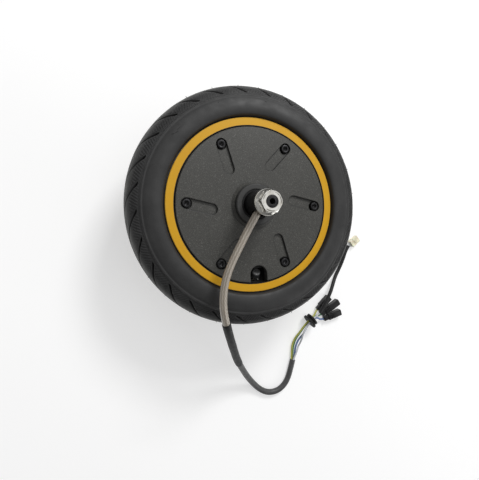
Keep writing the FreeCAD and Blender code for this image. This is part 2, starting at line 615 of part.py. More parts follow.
def make_hall_board():
    base = Placement(Vector(0, 0, SIZES["insulator_height"]), Rotation(Vector(0, 0, 1), SIZES["board_turn"]))
    plate = cylinder("board_plate", "board_outer_radius", "board_thickness", base)
    plate.setExpression("Angle", bound("board_angle"))
    bore = cylinder("board_bore", "board_inner_radius", "board_thickness", base)
    node("hall_board", cut("hall_board", plate, [bore]))
    sensors = []
    for number in range(3):
        angle = SIZES["board_turn"] + SIZES["board_angle"] / 6 * (2 * number + 1)
        half_width, half_length = SIZES["sensor_width"] / 2, SIZES["sensor_length"] / 2
        sensors.append(block("hall_sensor", (f"sensor_circle_radius - {half_width}", f"-{half_length}",
                                             "insulator_height + board_thickness"),
                             (f"sensor_circle_radius + {half_width}", f"{half_length}",
                              "insulator_height + board_thickness + sensor_thickness"), spun(angle)))
    node("hall_sensors", group("hall_sensors", sensors))


# ----------------------------------------------------------------------------------------------------------
# Axle and its hardware
# ----------------------------------------------------------------------------------------------------------
def make_axle():
    blank = turned("axle_blank", [
        ("0", "-axle_end_height"), ("thread_radius - thread_edge", "-axle_end_height"),
        ("thread_radius", "thread_edge - axle_end_height"), ("thread_radius", "-axle_back_step"),
        ("axle_radius", "-axle_back_step"), ("axle_radius", "-bearing_low"), ("axle_shoulder_radius",
                                                                              "-bearing_low"),
        ("axle_shoulder_radius", "bearing_low"), ("axle_radius", "bearing_low"), ("axle_radius",
                                                                                  "axle_front_step"),
        ("thread_radius", "axle_front_step"), ("thread_radius", "axle_end_height - thread_edge"),
        ("thread_radius - thread_edge", "axle_end_height"), ("0", "axle_end_height")])
    tools = [
        cylinder("lead_bore", "lead_bore_radius", "lead_bore_high - lead_bore_low",
                 Placement(Vector(0, 0, SIZES["lead_bore_low"]), Rotation())),
        cylinder("lead_exit", "lead_exit_radius", "axle_radius + 2",
                 along(heading(CABLE_TURN), Vector(0, 0, SIZES["cable_exit_height"]))),
        cylinder("lead_entry", "lead_entry_radius", "axle_shoulder_radius + 2",
                 along(heading(CABLE_TURN + 180), Vector(0, 0, SIZES["lead_entry_height"]))),
        cylinder("centre_hole", "centre_hole_radius", "centre_hole_depth + 1",
                 Placement(Vector(0, 0, amount("axle_end_height - centre_hole_depth")), Rotation())),
    ]
    half_flat = f"{SIZES['axle_flat_across'] / 2}"
    for turn in (0, 180):
        tools.append(block("axle_flat", ("-axle_radius - 1", half_flat, "-axle_back_step"),
                           ("axle_radius + 1", "axle_radius + 1", "-axle_flat_start"), spun(turn)))
    node("axle", cut("axle", blank, tools))


def make_axle_hardware():
    sleeve = turned("sleeve_blank", [
        ("axle_radius", "bearing_high"), ("race_inner_outer_radius", "bearing_high"),
        ("race_inner_outer_radius", "sleeve_step_height"), ("sleeve_radius", "sleeve_step_height"),
        ("sleeve_radius", "axle_front_step"), ("axle_radius", "axle_front_step")])
    hole = cylinder("sleeve_hole", "sleeve_hole_radius", "sleeve_radius + 4",
                    along(heading(CABLE_TURN), Vector(0, 0, SIZES["cable_exit_height"])))
    half_notch = f"{SIZES['sleeve_hole_radius']}"
    notch = block("sleeve_notch", ("0", f"-{half_notch}", "cable_exit_height"),
                  ("sleeve_radius + 1", half_notch, "axle_front_step + 1"), spun(CABLE_TURN))
    node("front_spacer_sleeve", cut("front_spacer_sleeve", sleeve, [hole, notch]))
    node("back_spacer_sleeve", turned("back_spacer_sleeve", [
        ("axle_radius", "bearing_high"), ("race_inner_outer_radius", "bearing_high"),
        ("race_inner_outer_radius", "sleeve_step_height"), ("sleeve_radius", "sleeve_step_height"),
        ("sleeve_radius", "axle_flat_start"), ("axle_radius", "axle_flat_start")], BACK))
    node("axle_washer", ring("axle_washer", "washer_hole_radius", "washer_radius", "axle_front_step",
                             "axle_front_step + washer_thickness"))
    seat = Placement(Vector(0, 0, amount("axle_front_step + washer_thickness")),
                     Rotation(Vector(0, 0, 1), NUT_TURN))
    bar = prism("nut_bar", "nut_across", "nut_height", seat)
    bevel = turned("nut_bevel_blank", [
        ("0", "0"), ("nut_face_radius", "0"), ("nut_corner_radius", "nut_bevel"),
        ("nut_corner_radius", "nut_height - nut_bevel"), ("nut_face_radius", "nut_height"),
        ("0", "nut_height")], seat)
    flange = turned("nut_flange", [
        ("0", "0"), ("nut_flange_radius", "0"), ("nut_flange_radius", "nut_flange_edge"),
        ("nut_face_radius", "nut_flange_height"), ("0", "nut_flange_height")], seat)
    blank = fused("nut_blank", [common("nut_bar_bevelled", [bar, bevel]), flange])
    node("axle_nut", cut("axle_nut", blank, [cylinder("nut_bore", "thread_radius", "nut_height", seat)]))
    node("motor_lead_bundle", cylinder("motor_lead_bundle", "lead_bundle_radius",
                                       "lead_bore_high - lead_bore_low - 2",
                                       Placement(Vector(0, 0, amount("lead_bore_low + 1")), Rotation())))
    node("cable_exit_bush", turned("cable_exit_bush", [
        ("bush_bore_radius", "bush_start"), ("bush_radius", "bush_start"), ("bush_radius", "bush_flange"),
        ("bush_flange_radius", "bush_flange"), ("bush_flange_radius", "bush_end"),
        ("bush_mouth_radius", "bush_end"), ("bush_mouth_radius", "bush_seat"),
        ("bush_bore_radius", "bush_seat")],
        along(heading(CABLE_TURN), Vector(0, 0, SIZES["cable_exit_height"]))))


# ----------------------------------------------------------------------------------------------------------
# Cable, wires and connectors
# ----------------------------------------------------------------------------------------------------------
ROUNDING = 0.45            # share of the shorter run that an arc may use at a corner


def tube(name, route, diameter, first_run=0, last_run=None):
    """A cord along straight runs joined by tangent arcs, each as large as its two runs allow.

    A stretch of a route starts or ends half way along the runs that are named.
    """
    width = amount(diameter)
    corners = [Vector(*point) for point in route]
    last_run = len(corners) - 2 if last_run is None else last_run
    starts, ends, arcs, radii = [corners[0]], [], [], []
    for before, corner, after in zip(corners, corners[1:], corners[2:]):
        reach = ROUNDING * min((corner - before).Length, (after - corner).Length)
        towards, away = (corner - before).normalize(), (after - corner).normalize()
        half_turn = towards.getAngle(away) / 2
        radius = reach / math.tan(half_turn)
        middle = corner + (away - towards).normalize() * (radius / math.cos(half_turn) - radius)
        ends.append(corner - towards * reach)
        starts.append(corner + away * reach)
        arcs.append(Part.Arc(ends[-1], middle, starts[-1]).toShape())
        radii.append(radius)
    ends.append(corners[-1])
    if first_run > 0:
        starts[first_run] = (starts[first_run] + ends[first_run]) / 2
    if last_run < len(corners) - 2:
        ends[last_run] = (starts[last_run] + ends[last_run]) / 2
    edges = []
    for run in range(first_run, last_run + 1):
        edges.append(Part.LineSegment(starts[run], ends[run]).toShape())
        edges += [arcs[run]] if run < last_run else []
    path = Part.Wire(edges)
    section = Part.Wire(Part.Circle(starts[first_run], ends[first_run] - starts[first_run],
                                    width / 2).toShape())
    solid = path.makePipeShell([section], True, False)
    share = solid.Volume / (math.pi * width * width / 4 * path.Length)
    tightest = min(radii[first_run:last_run])
    print(f"{name}: length {path.Length:.1f}, smallest radius {tightest:.1f} ({tightest / width:.1f} d), "
          f"volume {share:.4f} of section times length")
    item = doc.addObject("Part::Feature", name)
    item.Shape = solid
    return node(name, item)


def make_cable():
    tube("cable_sheath", MAIN_ROUTE, "sheath_diameter", 0, SHEATH_END)
    tube("cable_heat_shrink", MAIN_ROUTE, "shrink_diameter", SHEATH_END, SHRINK_END)
    tube("cable_jacket", MAIN_ROUTE, "jacket_diameter", SHRINK_END)
    tube("phase_wire_yellow", YELLOW_ROUTE, "wire_diameter")
    tube("phase_wire_green", GREEN_ROUTE, "wire_diameter")
    tube("phase_wire_blue", BLUE_ROUTE, "wire_diameter")
    tube("hall_lead_grey", GREY_ROUTE, "wire_diameter")
    tube("hall_cable", HALL_ROUTE, "hall_cable_diameter")


def make_grommet():
    node("cable_grommet", turned("cable_grommet", [
        ("grommet_bore_radius", "0"), ("grommet_flange_radius", "0"), ("grommet_flange_radius",
                                                                       "grommet_flange"),
        ("grommet_neck_radius", "grommet_flange"), ("grommet_neck_radius", "grommet_flange + grommet_neck"),
        ("grommet_small_radius", "grommet_flange + grommet_neck"),
        ("grommet_small_radius", "grommet_flange + grommet_neck + grommet_flange"),
        ("grommet_bore_radius", "grommet_flange + grommet_neck + grommet_flange")],
        along(heading(GROMMET_TURN), GROMMET_BASE)))


def make_phase_connectors():
    bullets = []
    for name, (start, turn, length) in CONNECTORS.items():
        place = Placement(start, Rotation(Vector(0, 0, 1), turn))
        half_width, half_tail = f"{SIZES['housing_width'] / 2}", f"{SIZES['housing_tail_width'] / 2}"
        tail = block(name + "_tail", ("0", f"-{half_tail}", f"-{half_tail}"),
                     ("housing_tail_length + 1", half_tail, half_tail), place)
        barrel = block(name + "_barrel", ("housing_tail_length", f"-{half_width}", f"-{half_width}"),
                       (f"{length}", half_width, half_width), place)
        mouth_start = place.multiply(Placement(Vector(length - SIZES["housing_mouth_depth"], 0, 0),
                                               Rotation(Vector(0, 1, 0), 90)))
        mouth = cylinder(name + "_mouth", "housing_mouth_radius", "housing_mouth_depth + 1", mouth_start)
        node(name, cut(name, fused(name + "_shape", [tail, barrel]), [mouth]))
        bullets.append(cylinder("phase_bullet", "bullet_radius", "bullet_length", mouth_start))
    node("phase_bullets", group("phase_bullets", bullets))


def make_hall_plug():
    end = Vector(*HALL_ROUTE[-1])
    place = Placement(Vector(end.x, end.y, FLOOR + SIZES["plug_height"] / 2),
                      Rotation(Vector(0, 0, 1), HALL_PLUG_TURN))
    half_width, half_height = SIZES["plug_width"] / 2, SIZES["plug_height"] / 2
    wall = SIZES["plug_wall"]
    length = "pigtail_length + plug_length"
    housing = block("plug_block", ("pigtail_length", f"-{half_width}", f"-{half_height}"),
                    (length, f"{half_width}", f"{half_height}"), place)
    mouth = block("plug_mouth", (f"{length} - plug_mouth_depth", f"{wall - half_width}",
                                 f"{wall - half_height}"),
                  (f"{length} + 1", f"{half_width - wall}", f"{half_height - wall}"), place)
    node("hall_connector", cut("hall_connector", housing, [mouth]))
    contacts, pigtails = [], []
    count = int(SIZES["pigtail_count"])
    for number in range(count):
        share = number - (count - 1) / 2
        side, half_contact = share * SIZES["contact_pitch"], SIZES["contact_size"] / 2
        contacts.append(block("hall_contact",
                              (f"{length} - plug_mouth_depth", f"{side - half_contact}", f"-{half_contact}"),
                              (f"{length} - plug_mouth_depth + contact_length", f"{side + half_contact}",
                               f"{half_contact}"), place))
        root = place.multVec(Vector(SIZES["pigtail_root_start"], share * SIZES["pigtail_root_pitch"],
                                    -SIZES["pigtail_root_drop"]))
        tip = place.multVec(Vector(amount("pigtail_length - pigtail_gap"), side, 0))
        pigtail = doc.addObject("Part::Cylinder", "hall_pigtail")
        pigtail.setExpression("Radius", f"({bound('pigtail_diameter')}) / 2")
        pigtail.Height = (tip - root).Length
        pigtail.Placement = along(tip - root, root)
        pigtails.append(pigtail)
    node("hall_contacts", group("hall_contacts", contacts))
    node("hall_pigtails", group("hall_pigtails", pigtails))


make_tyre()
make_shell()
make_cover("front_cover", True, Placement())
make_cover("back_cover", False, BACK)
make_cover_screws("front_cover_screws", Placement())
make_cover_screws("back_cover_screws", BACK)
make_cover_seal("front_cover_seal", Placement())
make_cover_seal("back_cover_seal", BACK)
make_magnets()
make_valve()
make_bearing("front", Placement())
make_bearing("back", BACK)
make_spider()
make_stator()
make_hall_board()
make_axle()
make_axle_hardware()
make_cable()
make_grommet()
make_phase_connectors()
make_hall_plug()
doc.recompute()

faults = [item.Name for item in doc.Objects if "Invalid" in item.State or "Error" in item.State]
faults += [name for name, item in NODES.items() if item.Shape.isNull() or not item.Shape.isValid()]
if faults:
    raise SystemExit(f"failed objects: {faults}")
os.makedirs("parts", exist_ok=True)
for name, item in NODES.items():
    item.Shape.exportStep(f"parts/{name}.step")
print(f"{len(NODES)} sub-parts written")
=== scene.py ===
import bmesh
import bpy
import json
import math
import random
import numpy as np
from mathutils import Matrix, Vector


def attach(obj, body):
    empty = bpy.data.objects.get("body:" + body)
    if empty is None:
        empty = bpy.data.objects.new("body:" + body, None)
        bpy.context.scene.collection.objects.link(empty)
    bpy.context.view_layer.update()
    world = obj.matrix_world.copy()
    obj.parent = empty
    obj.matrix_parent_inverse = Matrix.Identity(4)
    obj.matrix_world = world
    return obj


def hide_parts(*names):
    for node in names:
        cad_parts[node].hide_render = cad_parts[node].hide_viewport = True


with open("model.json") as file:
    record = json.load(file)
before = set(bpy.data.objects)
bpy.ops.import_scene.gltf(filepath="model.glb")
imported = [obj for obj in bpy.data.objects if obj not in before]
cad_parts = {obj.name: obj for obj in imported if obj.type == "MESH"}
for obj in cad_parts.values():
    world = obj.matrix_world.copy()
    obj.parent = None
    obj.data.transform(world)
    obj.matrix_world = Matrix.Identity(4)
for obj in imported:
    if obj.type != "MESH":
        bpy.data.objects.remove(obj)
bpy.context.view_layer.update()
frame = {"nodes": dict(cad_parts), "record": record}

# --------------------------------------------------
# Hub motor wheel. Metres, origin at the wheel's centre, +Z along the axle towards the cable's side.
# Lengths below are in millimetres and are scaled where they are used.
# --------------------------------------------------
MM = 0.001
FLOOR_HEIGHT = -74 * MM


def mm(points):
    """Points given in millimetres, in metres."""
    return [tuple(value * MM for value in point) for point in points]


def shade(colour, factor, lift=0):
    """A colour multiplied by a factor and lifted by an amount."""
    return tuple(min(c * factor + lift, 1) for c in colour)


# --------------------------------------------------
# Camera
# --------------------------------------------------
camera_data = bpy.data.cameras.new("camera")
camera_data.sensor_width = 36
camera_data.lens = 26.72
camera_data.shift_x = -0.0298
camera_data.shift_y = -0.0183
camera_data.clip_start = 0.01
camera = bpy.data.objects.new("camera", camera_data)
bpy.context.scene.collection.objects.link(camera)
camera.matrix_world = Matrix((
    (0.94608, 0.00119, -0.32393, -0.1178),
    (0.00119, 0.99997, 0.00713, -0.0243),
    (0.32393, -0.00713, 0.94605, 0.3668),
    (0, 0, 0, 1),
))
bpy.context.scene.camera = camera
bpy.context.scene.view_settings.view_transform = "Standard"

# --------------------------------------------------
# Finishes
# --------------------------------------------------


class Finish:
    """A Principled material with helpers that lay noise, wear and relief on it."""

    def __init__(self, name, colour, roughness, metallic=0.0, **sockets):
        self.material = bpy.data.materials.new(name)
        self.material.use_nodes = True
        self.tree = self.material.node_tree
        self.shader = self.tree.nodes["Principled BSDF"]
        self.shader.inputs["Metallic"].default_value = metallic
        self.shader.inputs["Roughness"].default_value = roughness
        self.roughness = roughness
        self.shader.inputs["Base Color"].default_value = (*colour, 1)
        self.colour = colour
        for socket, value in sockets.items():
            self.shader.inputs[socket.replace("_", " ")].default_value = value
        self.place = self.node("ShaderNodeTexCoord").outputs["Object"]
        self.normal = None
        self.paint = None
        self.rough = None

    def node(self, kind, settings=(), **links):
        """A node; settings are (property, value), links go to inputs by name or by number as i0, i1."""
        item = self.tree.nodes.new(kind)
        for name, value in settings:
            setattr(item, name, value)
        for name, value in links.items():
            numbered = name[0] == "i" and name[1:].isdigit()
            socket = item.inputs[int(name[1:]) if numbered else name]
            if isinstance(value, bpy.types.NodeSocket):
                self.tree.links.new(value, socket)
            else:
                socket.default_value = value
        return item

    def stretched(self, scale):
        """The place coordinate with each axis multiplied."""
        return self.node("ShaderNodeVectorMath", [("operation", "MULTIPLY")], i0=self.place,
                         i1=scale).outputs[0]

    def noise(self, size, detail=3.0, stretch=(1, 1, 1), sharp=0.5):
        """Noise with features of about the given size in millimetres."""
        place = self.place if stretch == (1, 1, 1) else self.stretched(stretch)
        return self.node("ShaderNodeTexNoise", Vector=place, Scale=1 / (size * MM), Detail=detail,
                         Roughness=sharp).outputs["Fac"]

    def spread(self, value, low, high, to_low=0.0, to_high=1.0):
        """A value mapped from one span to another, and held inside it."""
        return self.node("ShaderNodeMapRange", [("clamp", True)], Value=value, **{
            "From Min": low, "From Max": high, "To Min": to_low, "To Max": to_high}).outputs[0]

    def math(self, operation, first, second=0.0):
        """One step of arithmetic."""
        return self.node("ShaderNodeMath", [("operation", operation)], i0=first, i1=second).outputs[0]

    def both(self, first, second):
        """A mask that is 1 where two masks are."""
        return self.math("MULTIPLY", first, second)

    def waves(self, value, pitch):
        """A wave from -1 to 1 with a pitch in the value's own unit."""
        return self.math("SINE", self.math("MULTIPLY", value, 2 * math.pi / pitch))

    def coat_colour(self, mask, colour):
        """Another colour where the mask is 1."""
        base = self.paint if self.paint else (*self.colour, 1)
        mix = self.node("ShaderNodeMix", [("data_type", "RGBA")], i0=mask, i6=base, i7=(*colour, 1))
        self.paint = mix.outputs[2]

    def coat_roughness(self, mask, roughness):
        """Another roughness where the mask is 1."""
        base = self.rough if self.rough else self.roughness
        mix = self.node("ShaderNodeMix", [("data_type", "FLOAT")], i0=mask, i2=base, i3=roughness)
        self.rough = mix.outputs[0]

    def relief(self, height, depth, strength=1.0):
        """Bump of the given depth in millimetres."""
        links = {"Height": height, "Distance": depth * MM, "Strength": strength}
        if self.normal:
            links["Normal"] = self.normal
        self.normal = self.node("ShaderNodeBump", **links).outputs[0]

    def rounded(self, width):
        """The normal that the surface has if its edges are rounded to a radius in millimetres."""
        return self.node("ShaderNodeBevel", [("samples", 4)], Radius=width * MM).outputs[0]

    def axes(self):
        """The three parts of the place coordinate."""
        return self.node("ShaderNodeSeparateXYZ", i0=self.place).outputs

    def from_axis(self):
        """The distance from the wheel's axis."""
        place = self.axes()
        squares = [self.math("MULTIPLY", place[i], place[i]) for i in (0, 1)]
        return self.math("SQRT", self.math("ADD", *squares))

    def from_middle(self):
        """The distance from the wheel's middle plane."""
        return self.math("ABSOLUTE", self.axes()[2])

    def creases(self, reach):
        """A mask that is 1 in inner corners, within a reach in millimetres, found by ambient occlusion, for
        painting shade there.
        """
        open_share = self.node("ShaderNodeAmbientOcclusion", [("samples", 6)], Distance=reach * MM)
        return self.spread(open_share.outputs["AO"], 0.86, 0.62)

    def edges(self, width):
        """A mask that is 1 on the object's sharp edges."""
        hard = self.node("ShaderNodeNewGeometry").outputs["Normal"]
        match = self.node("ShaderNodeVectorMath", [("operation", "DOT_PRODUCT")],
                          i0=self.rounded(width), i1=hard)
        return self.spread(match.outputs["Value"], 0.995, 0.86)

    def edge_wear_and_highlight(self, colour, roughness, width, amount, patch=3.0):
        """Edges turned to another colour in patches: rubbed wear, and in some finishes a painted highlight on
        the edges.
        """
        rubbed = self.spread(self.noise(patch, 4), 0.35, 0.62, 0.0, amount)
        mask = self.both(self.edges(width), rubbed)
        self.coat_colour(mask, colour)
        self.coat_roughness(mask, roughness)

    def done(self):
        """The finished material."""
        sources = {"Base Color": self.paint, "Roughness": self.rough, "Normal": self.normal}
        for socket, source in sources.items():
            if source:
                self.tree.links.new(source, self.shader.inputs[socket])
        return self.material


def tyre_finish():
    """Moulded rubber: dust, mould grain, fine turned rings on the wall, painted shade in the grooves, and a
    paler tread band that is painted sheen.
    """
    f = Finish("tyre_rubber_finish", (0.024, 0.024, 0.0242), 0.54, Specular_IOR_Level=0.42)
    f.coat_colour(f.spread(f.noise(26, 5, sharp=0.6), 0.38, 0.72), (0.036, 0.036, 0.036))
    f.coat_colour(f.spread(f.noise(1.1, 2), 0.62, 0.8, 0, 0.5), (0.055, 0.055, 0.053))
    f.coat_roughness(f.spread(f.noise(9, 4), 0.35, 0.7), 0.68)
    groove = f.node("ShaderNodeAttribute", [("attribute_name", "groove")]).outputs["Fac"]
    # Painted shade: the groove floors are darkened, as shade in the grooves.
    deep = f.spread(groove, 0.1, 0.7)
    f.coat_colour(deep, (0.006, 0.006, 0.006))
    f.coat_roughness(deep, 0.85)
    radius = f.from_axis()
    # Painted sheen: the outer tread band between the grooves is painted paler, for the grazing reflection on
    # the tread.
    tread_sheen = f.both(f.spread(radius, 119.8 * MM, 123.6 * MM), f.spread(groove, 0.3, 0.0))
    f.coat_colour(tread_sheen, (0.075, 0.075, 0.072))
    wall = f.both(f.spread(radius, 111 * MM, 109 * MM), f.spread(radius, 93 * MM, 96 * MM))
    f.relief(f.both(f.spread(f.waves(radius, 1.1 * MM), -1, 1), wall), 0.04, 0.5)
    f.relief(f.noise(0.55, 3), 0.05, 0.6)
    f.relief(f.noise(6, 2), 0.2, 0.35)
    return f.done()


def powder_coat(name, colour, speck):
    """Fine-textured powder coat with light specks, painted shade along the edges and in inner corners, pale
    edge patches that are partly wear and partly painted highlight, and a darker centre boss.
    """
    f = Finish(name, colour, 0.44, Specular_IOR_Level=0.5)
    f.normal = f.rounded(0.9)
    f.coat_colour(f.spread(f.noise(30, 4), 0.35, 0.7), shade(colour, 0.86))
    f.coat_colour(f.spread(f.noise(0.42, 1), 0.60, 0.72, 0, 0.9), speck)
    f.coat_colour(f.spread(f.noise(1.5, 1), 0.66, 0.73, 0, 0.4), speck)
    f.coat_colour(f.spread(f.noise(0.8, 1), 0.60, 0.70, 0, 0.5), shade(colour, 0.55))
    f.coat_roughness(f.spread(f.noise(4, 4), 0.35, 0.7), 0.54)
    f.relief(f.noise(0.7, 2), 0.10, 0.55)
    f.relief(f.noise(2.4, 2), 0.10, 0.3)
    # Painted shade: a dark line along every sharp edge, for the shaded rims of the slots and pockets.
    f.coat_colour(f.spread(f.edges(1.1), 0.05, 0.45, 0, 0.92), shade(colour, 0.05))
    # Painted shade: inner corners are darkened where ambient occlusion finds them.
    f.coat_colour(f.creases(1.6), shade(colour, 0.12))
    # Pale edges in patches: partly rubbed wear, partly a painted highlight on the edges.
    f.edge_wear_and_highlight(speck, 0.4, 0.2, 0.4)
    boss = f.both(f.spread(f.from_axis(), 21.6 * MM, 21.2 * MM),
                  f.spread(f.from_middle(), 27.0 * MM, 27.4 * MM))
    f.coat_colour(boss, (0.037, 0.037, 0.036))
    return f.done()


def gold_paint():
    """Satin golden yellow paint with orange peel; paler edge patches are a painted highlight, and black below
    the flange face and on the ring's inner edge is painted shade of the gaps.
    """
    f = Finish("yellow_paint_finish", (0.64, 0.34, 0.006), 0.42, Specular_IOR_Level=0.35)
    f.coat_colour(f.spread(f.noise(14, 4), 0.35, 0.7), (0.62, 0.32, 0.006))
    f.coat_colour(f.spread(f.noise(0.5, 2), 0.64, 0.78, 0, 0.35), (0.74, 0.46, 0.06))
    f.coat_roughness(f.spread(f.noise(5, 4), 0.4, 0.7), 0.5)
    # Painted highlight: paler patches along the edges, for light caught on the ring's chamfers.
    f.edge_wear_and_highlight((0.70, 0.48, 0.14), 0.5, 0.9, 0.8, 8)
    # Painted shade: black below the flange face and on the ring's inner edge, widening the dark gaps beside
    # the cover and the tyre.
    inside = f.math("MAXIMUM", f.spread(f.from_middle(), 23.45 * MM, 23.30 * MM),
                    f.spread(f.from_axis(), 80.9 * MM, 80.7 * MM))
    f.coat_colour(inside, (0.010, 0.0095, 0.009))
    f.coat_roughness(inside, 0.6)
    f.relief(f.noise(1.2, 2), 0.05, 0.3)
    return f.done()


def metal(name, colour, roughness, grain=(1, 1, 1), grain_size=0.6, stain=None, dirt_and_reflection=(0.1, 0.09, 0.08),
          depth=0.03, ring=None):
    """Bare or plated metal with tool marks, dull patches, and a painted dark reflection, broken up by noise,
    between a ring's two radii if given.
    """
    f = Finish(name, colour, roughness, 1.0)
    marks = f.noise(grain_size, 3, grain)
    f.coat_roughness(f.spread(marks, 0.35, 0.7), roughness * 1.6 + 0.03)
    f.coat_roughness(f.spread(f.noise(3.5, 4), 0.5, 0.75, 0, 0.7), roughness * 2 + 0.06)
    if stain:
        f.coat_colour(f.spread(f.noise(4, 4), 0.45, 0.75, 0, 0.7), stain)
    f.coat_colour(f.spread(f.noise(0.9, 3), 0.66, 0.8, 0, 0.5), dirt_and_reflection)
    # Painted reflection: a dark band in the dirt colour between the ring's radii, for the dark streak that
    # the chrome nut reflects between its face and its flats.
    if ring:
        radius, (inner, outer) = f.from_axis(), ring
        band = f.both(f.spread(radius, inner * MM, (inner + 0.4) * MM),
                      f.spread(radius, outer * MM, (outer - 0.4) * MM))
        reflection_band = f.both(band, f.spread(f.noise(7, 2), 0.42, 0.56, 0.1, 0.85))
        f.coat_colour(reflection_band, dirt_and_reflection)
        f.coat_roughness(reflection_band, 0.35)
    f.relief(marks, depth, 0.6)
    return f.done()


def black_oxide(name, colour, roughness, rubbed):
    """Blackened steel: satin, a little oily, rubbed brighter on its edges."""
    f = Finish(name, colour, roughness, 0.75)
    f.coat_colour(f.spread(f.noise(5, 4), 0.4, 0.7), shade(colour, 1.9))
    marks = f.noise(0.5, 3, (1, 1, 0.12))
    f.coat_roughness(f.spread(marks, 0.35, 0.7), roughness + 0.16)
    f.edge_wear_and_highlight(rubbed, 0.3, 0.3, 0.9, 2.0)
    f.relief(marks, 0.03, 0.7)
    return f.done()


def rubber(name, colour, roughness=0.5, grain=0.5, depth=0.05, **sockets):
    """Soft plastic or rubber: mould grain, dust and dull patches."""
    f = Finish(name, colour, roughness, **sockets)
    f.coat_colour(f.spread(f.noise(7, 4), 0.4, 0.72), shade(colour, 1.45, 0.004))
    f.coat_colour(f.spread(f.noise(0.8, 3), 0.66, 0.8, 0, 0.35), shade(colour, 1.8, 0.03))
    f.coat_roughness(f.spread(f.noise(3, 4), 0.4, 0.7), min(roughness + 0.16, 1))
    f.relief(f.noise(grain, 3), depth, 0.55)
    f.relief(f.noise(5, 2), 0.15, 0.2)
    return f.done()


def wire_finish(name, colour):
    """Insulated wire: semi-gloss, slightly wavy, with handling marks."""
    f = Finish(name, colour, 0.36, Specular_IOR_Level=0.55, Coat_Weight=0.25, Coat_Roughness=0.25)
    f.coat_colour(f.spread(f.noise(5, 3), 0.4, 0.7), shade(colour, 0.78))
    f.coat_colour(f.spread(f.noise(0.7, 3), 0.68, 0.8, 0, 0.5), shade(colour, 0.45))
    f.coat_roughness(f.spread(f.noise(2, 3), 0.4, 0.7), 0.5)
    f.relief(f.noise(1.6, 2), 0.06, 0.4)
    return f.done()


def braid_finish():
    """Pale nylon and tinned-wire braid seen through a clear jacket, with painted shade where the strands dip
    under each other.
    """
    f = Finish("braid_finish", (0.28, 0.245, 0.20), 0.42, 0.3, Coat_Weight=1.0, Coat_Roughness=0.12)
    strand = f.node("ShaderNodeAttribute", [("attribute_name", "strand")]).outputs["Fac"]
    height = f.node("ShaderNodeAttribute", [("attribute_name", "height")]).outputs["Fac"]
    f.coat_colour(f.spread(strand, 0.4, 0.6), (0.44, 0.39, 0.325))
    # Painted shade: darker where a strand dips under the other set.
    f.coat_colour(f.spread(height, 0.55, 0.1, 0, 0.7), (0.11, 0.09, 0.07))
    f.coat_colour(f.spread(f.noise(4, 3), 0.45, 0.75, 0, 0.5), (0.30, 0.25, 0.20))
    uv = f.node("ShaderNodeSeparateXYZ", i0=f.node("ShaderNodeUVMap", [("uv_map", "braid")]).outputs[0])
    along = f.math("ADD", uv.outputs[0], f.math("MULTIPLY", uv.outputs[1], 1.2))
    f.relief(f.spread(f.waves(along, 1 / 66), -1, 1), 0.06, 0.5)
    return f.done()


def laminated(name, colour, pitch):
    """A stack of thin sheets."""
    f = Finish(name, colour, 0.42, 0.8)
    lines = f.spread(f.waves(f.axes()[2], pitch * MM), -0.6, 0.3)
    f.coat_colour(f.math("SUBTRACT", 1.0, lines), shade(colour, 0.4))
    f.coat_colour(f.spread(f.noise(2, 4), 0.55, 0.75, 0, 0.6), (0.16, 0.07, 0.03))
    f.relief(lines, 0.08, 0.8)
    return f.done()


def coil_finish():
    """Enamelled copper wire wound round a tooth, with painted shade between the turns."""
    f = Finish("copper_finish", (0.62, 0.22, 0.06), 0.3, 0.9, Coat_Weight=0.5, Coat_Roughness=0.2)
    turns = f.spread(f.waves(f.from_axis(), 0.9 * MM), -0.9, 0.9)
    # Painted shade: darker in the hollows between the turns.
    f.coat_colour(f.spread(turns, 0.5, 0.0), (0.16, 0.045, 0.012))
    f.relief(turns, 0.25, 0.9)
    return f.done()


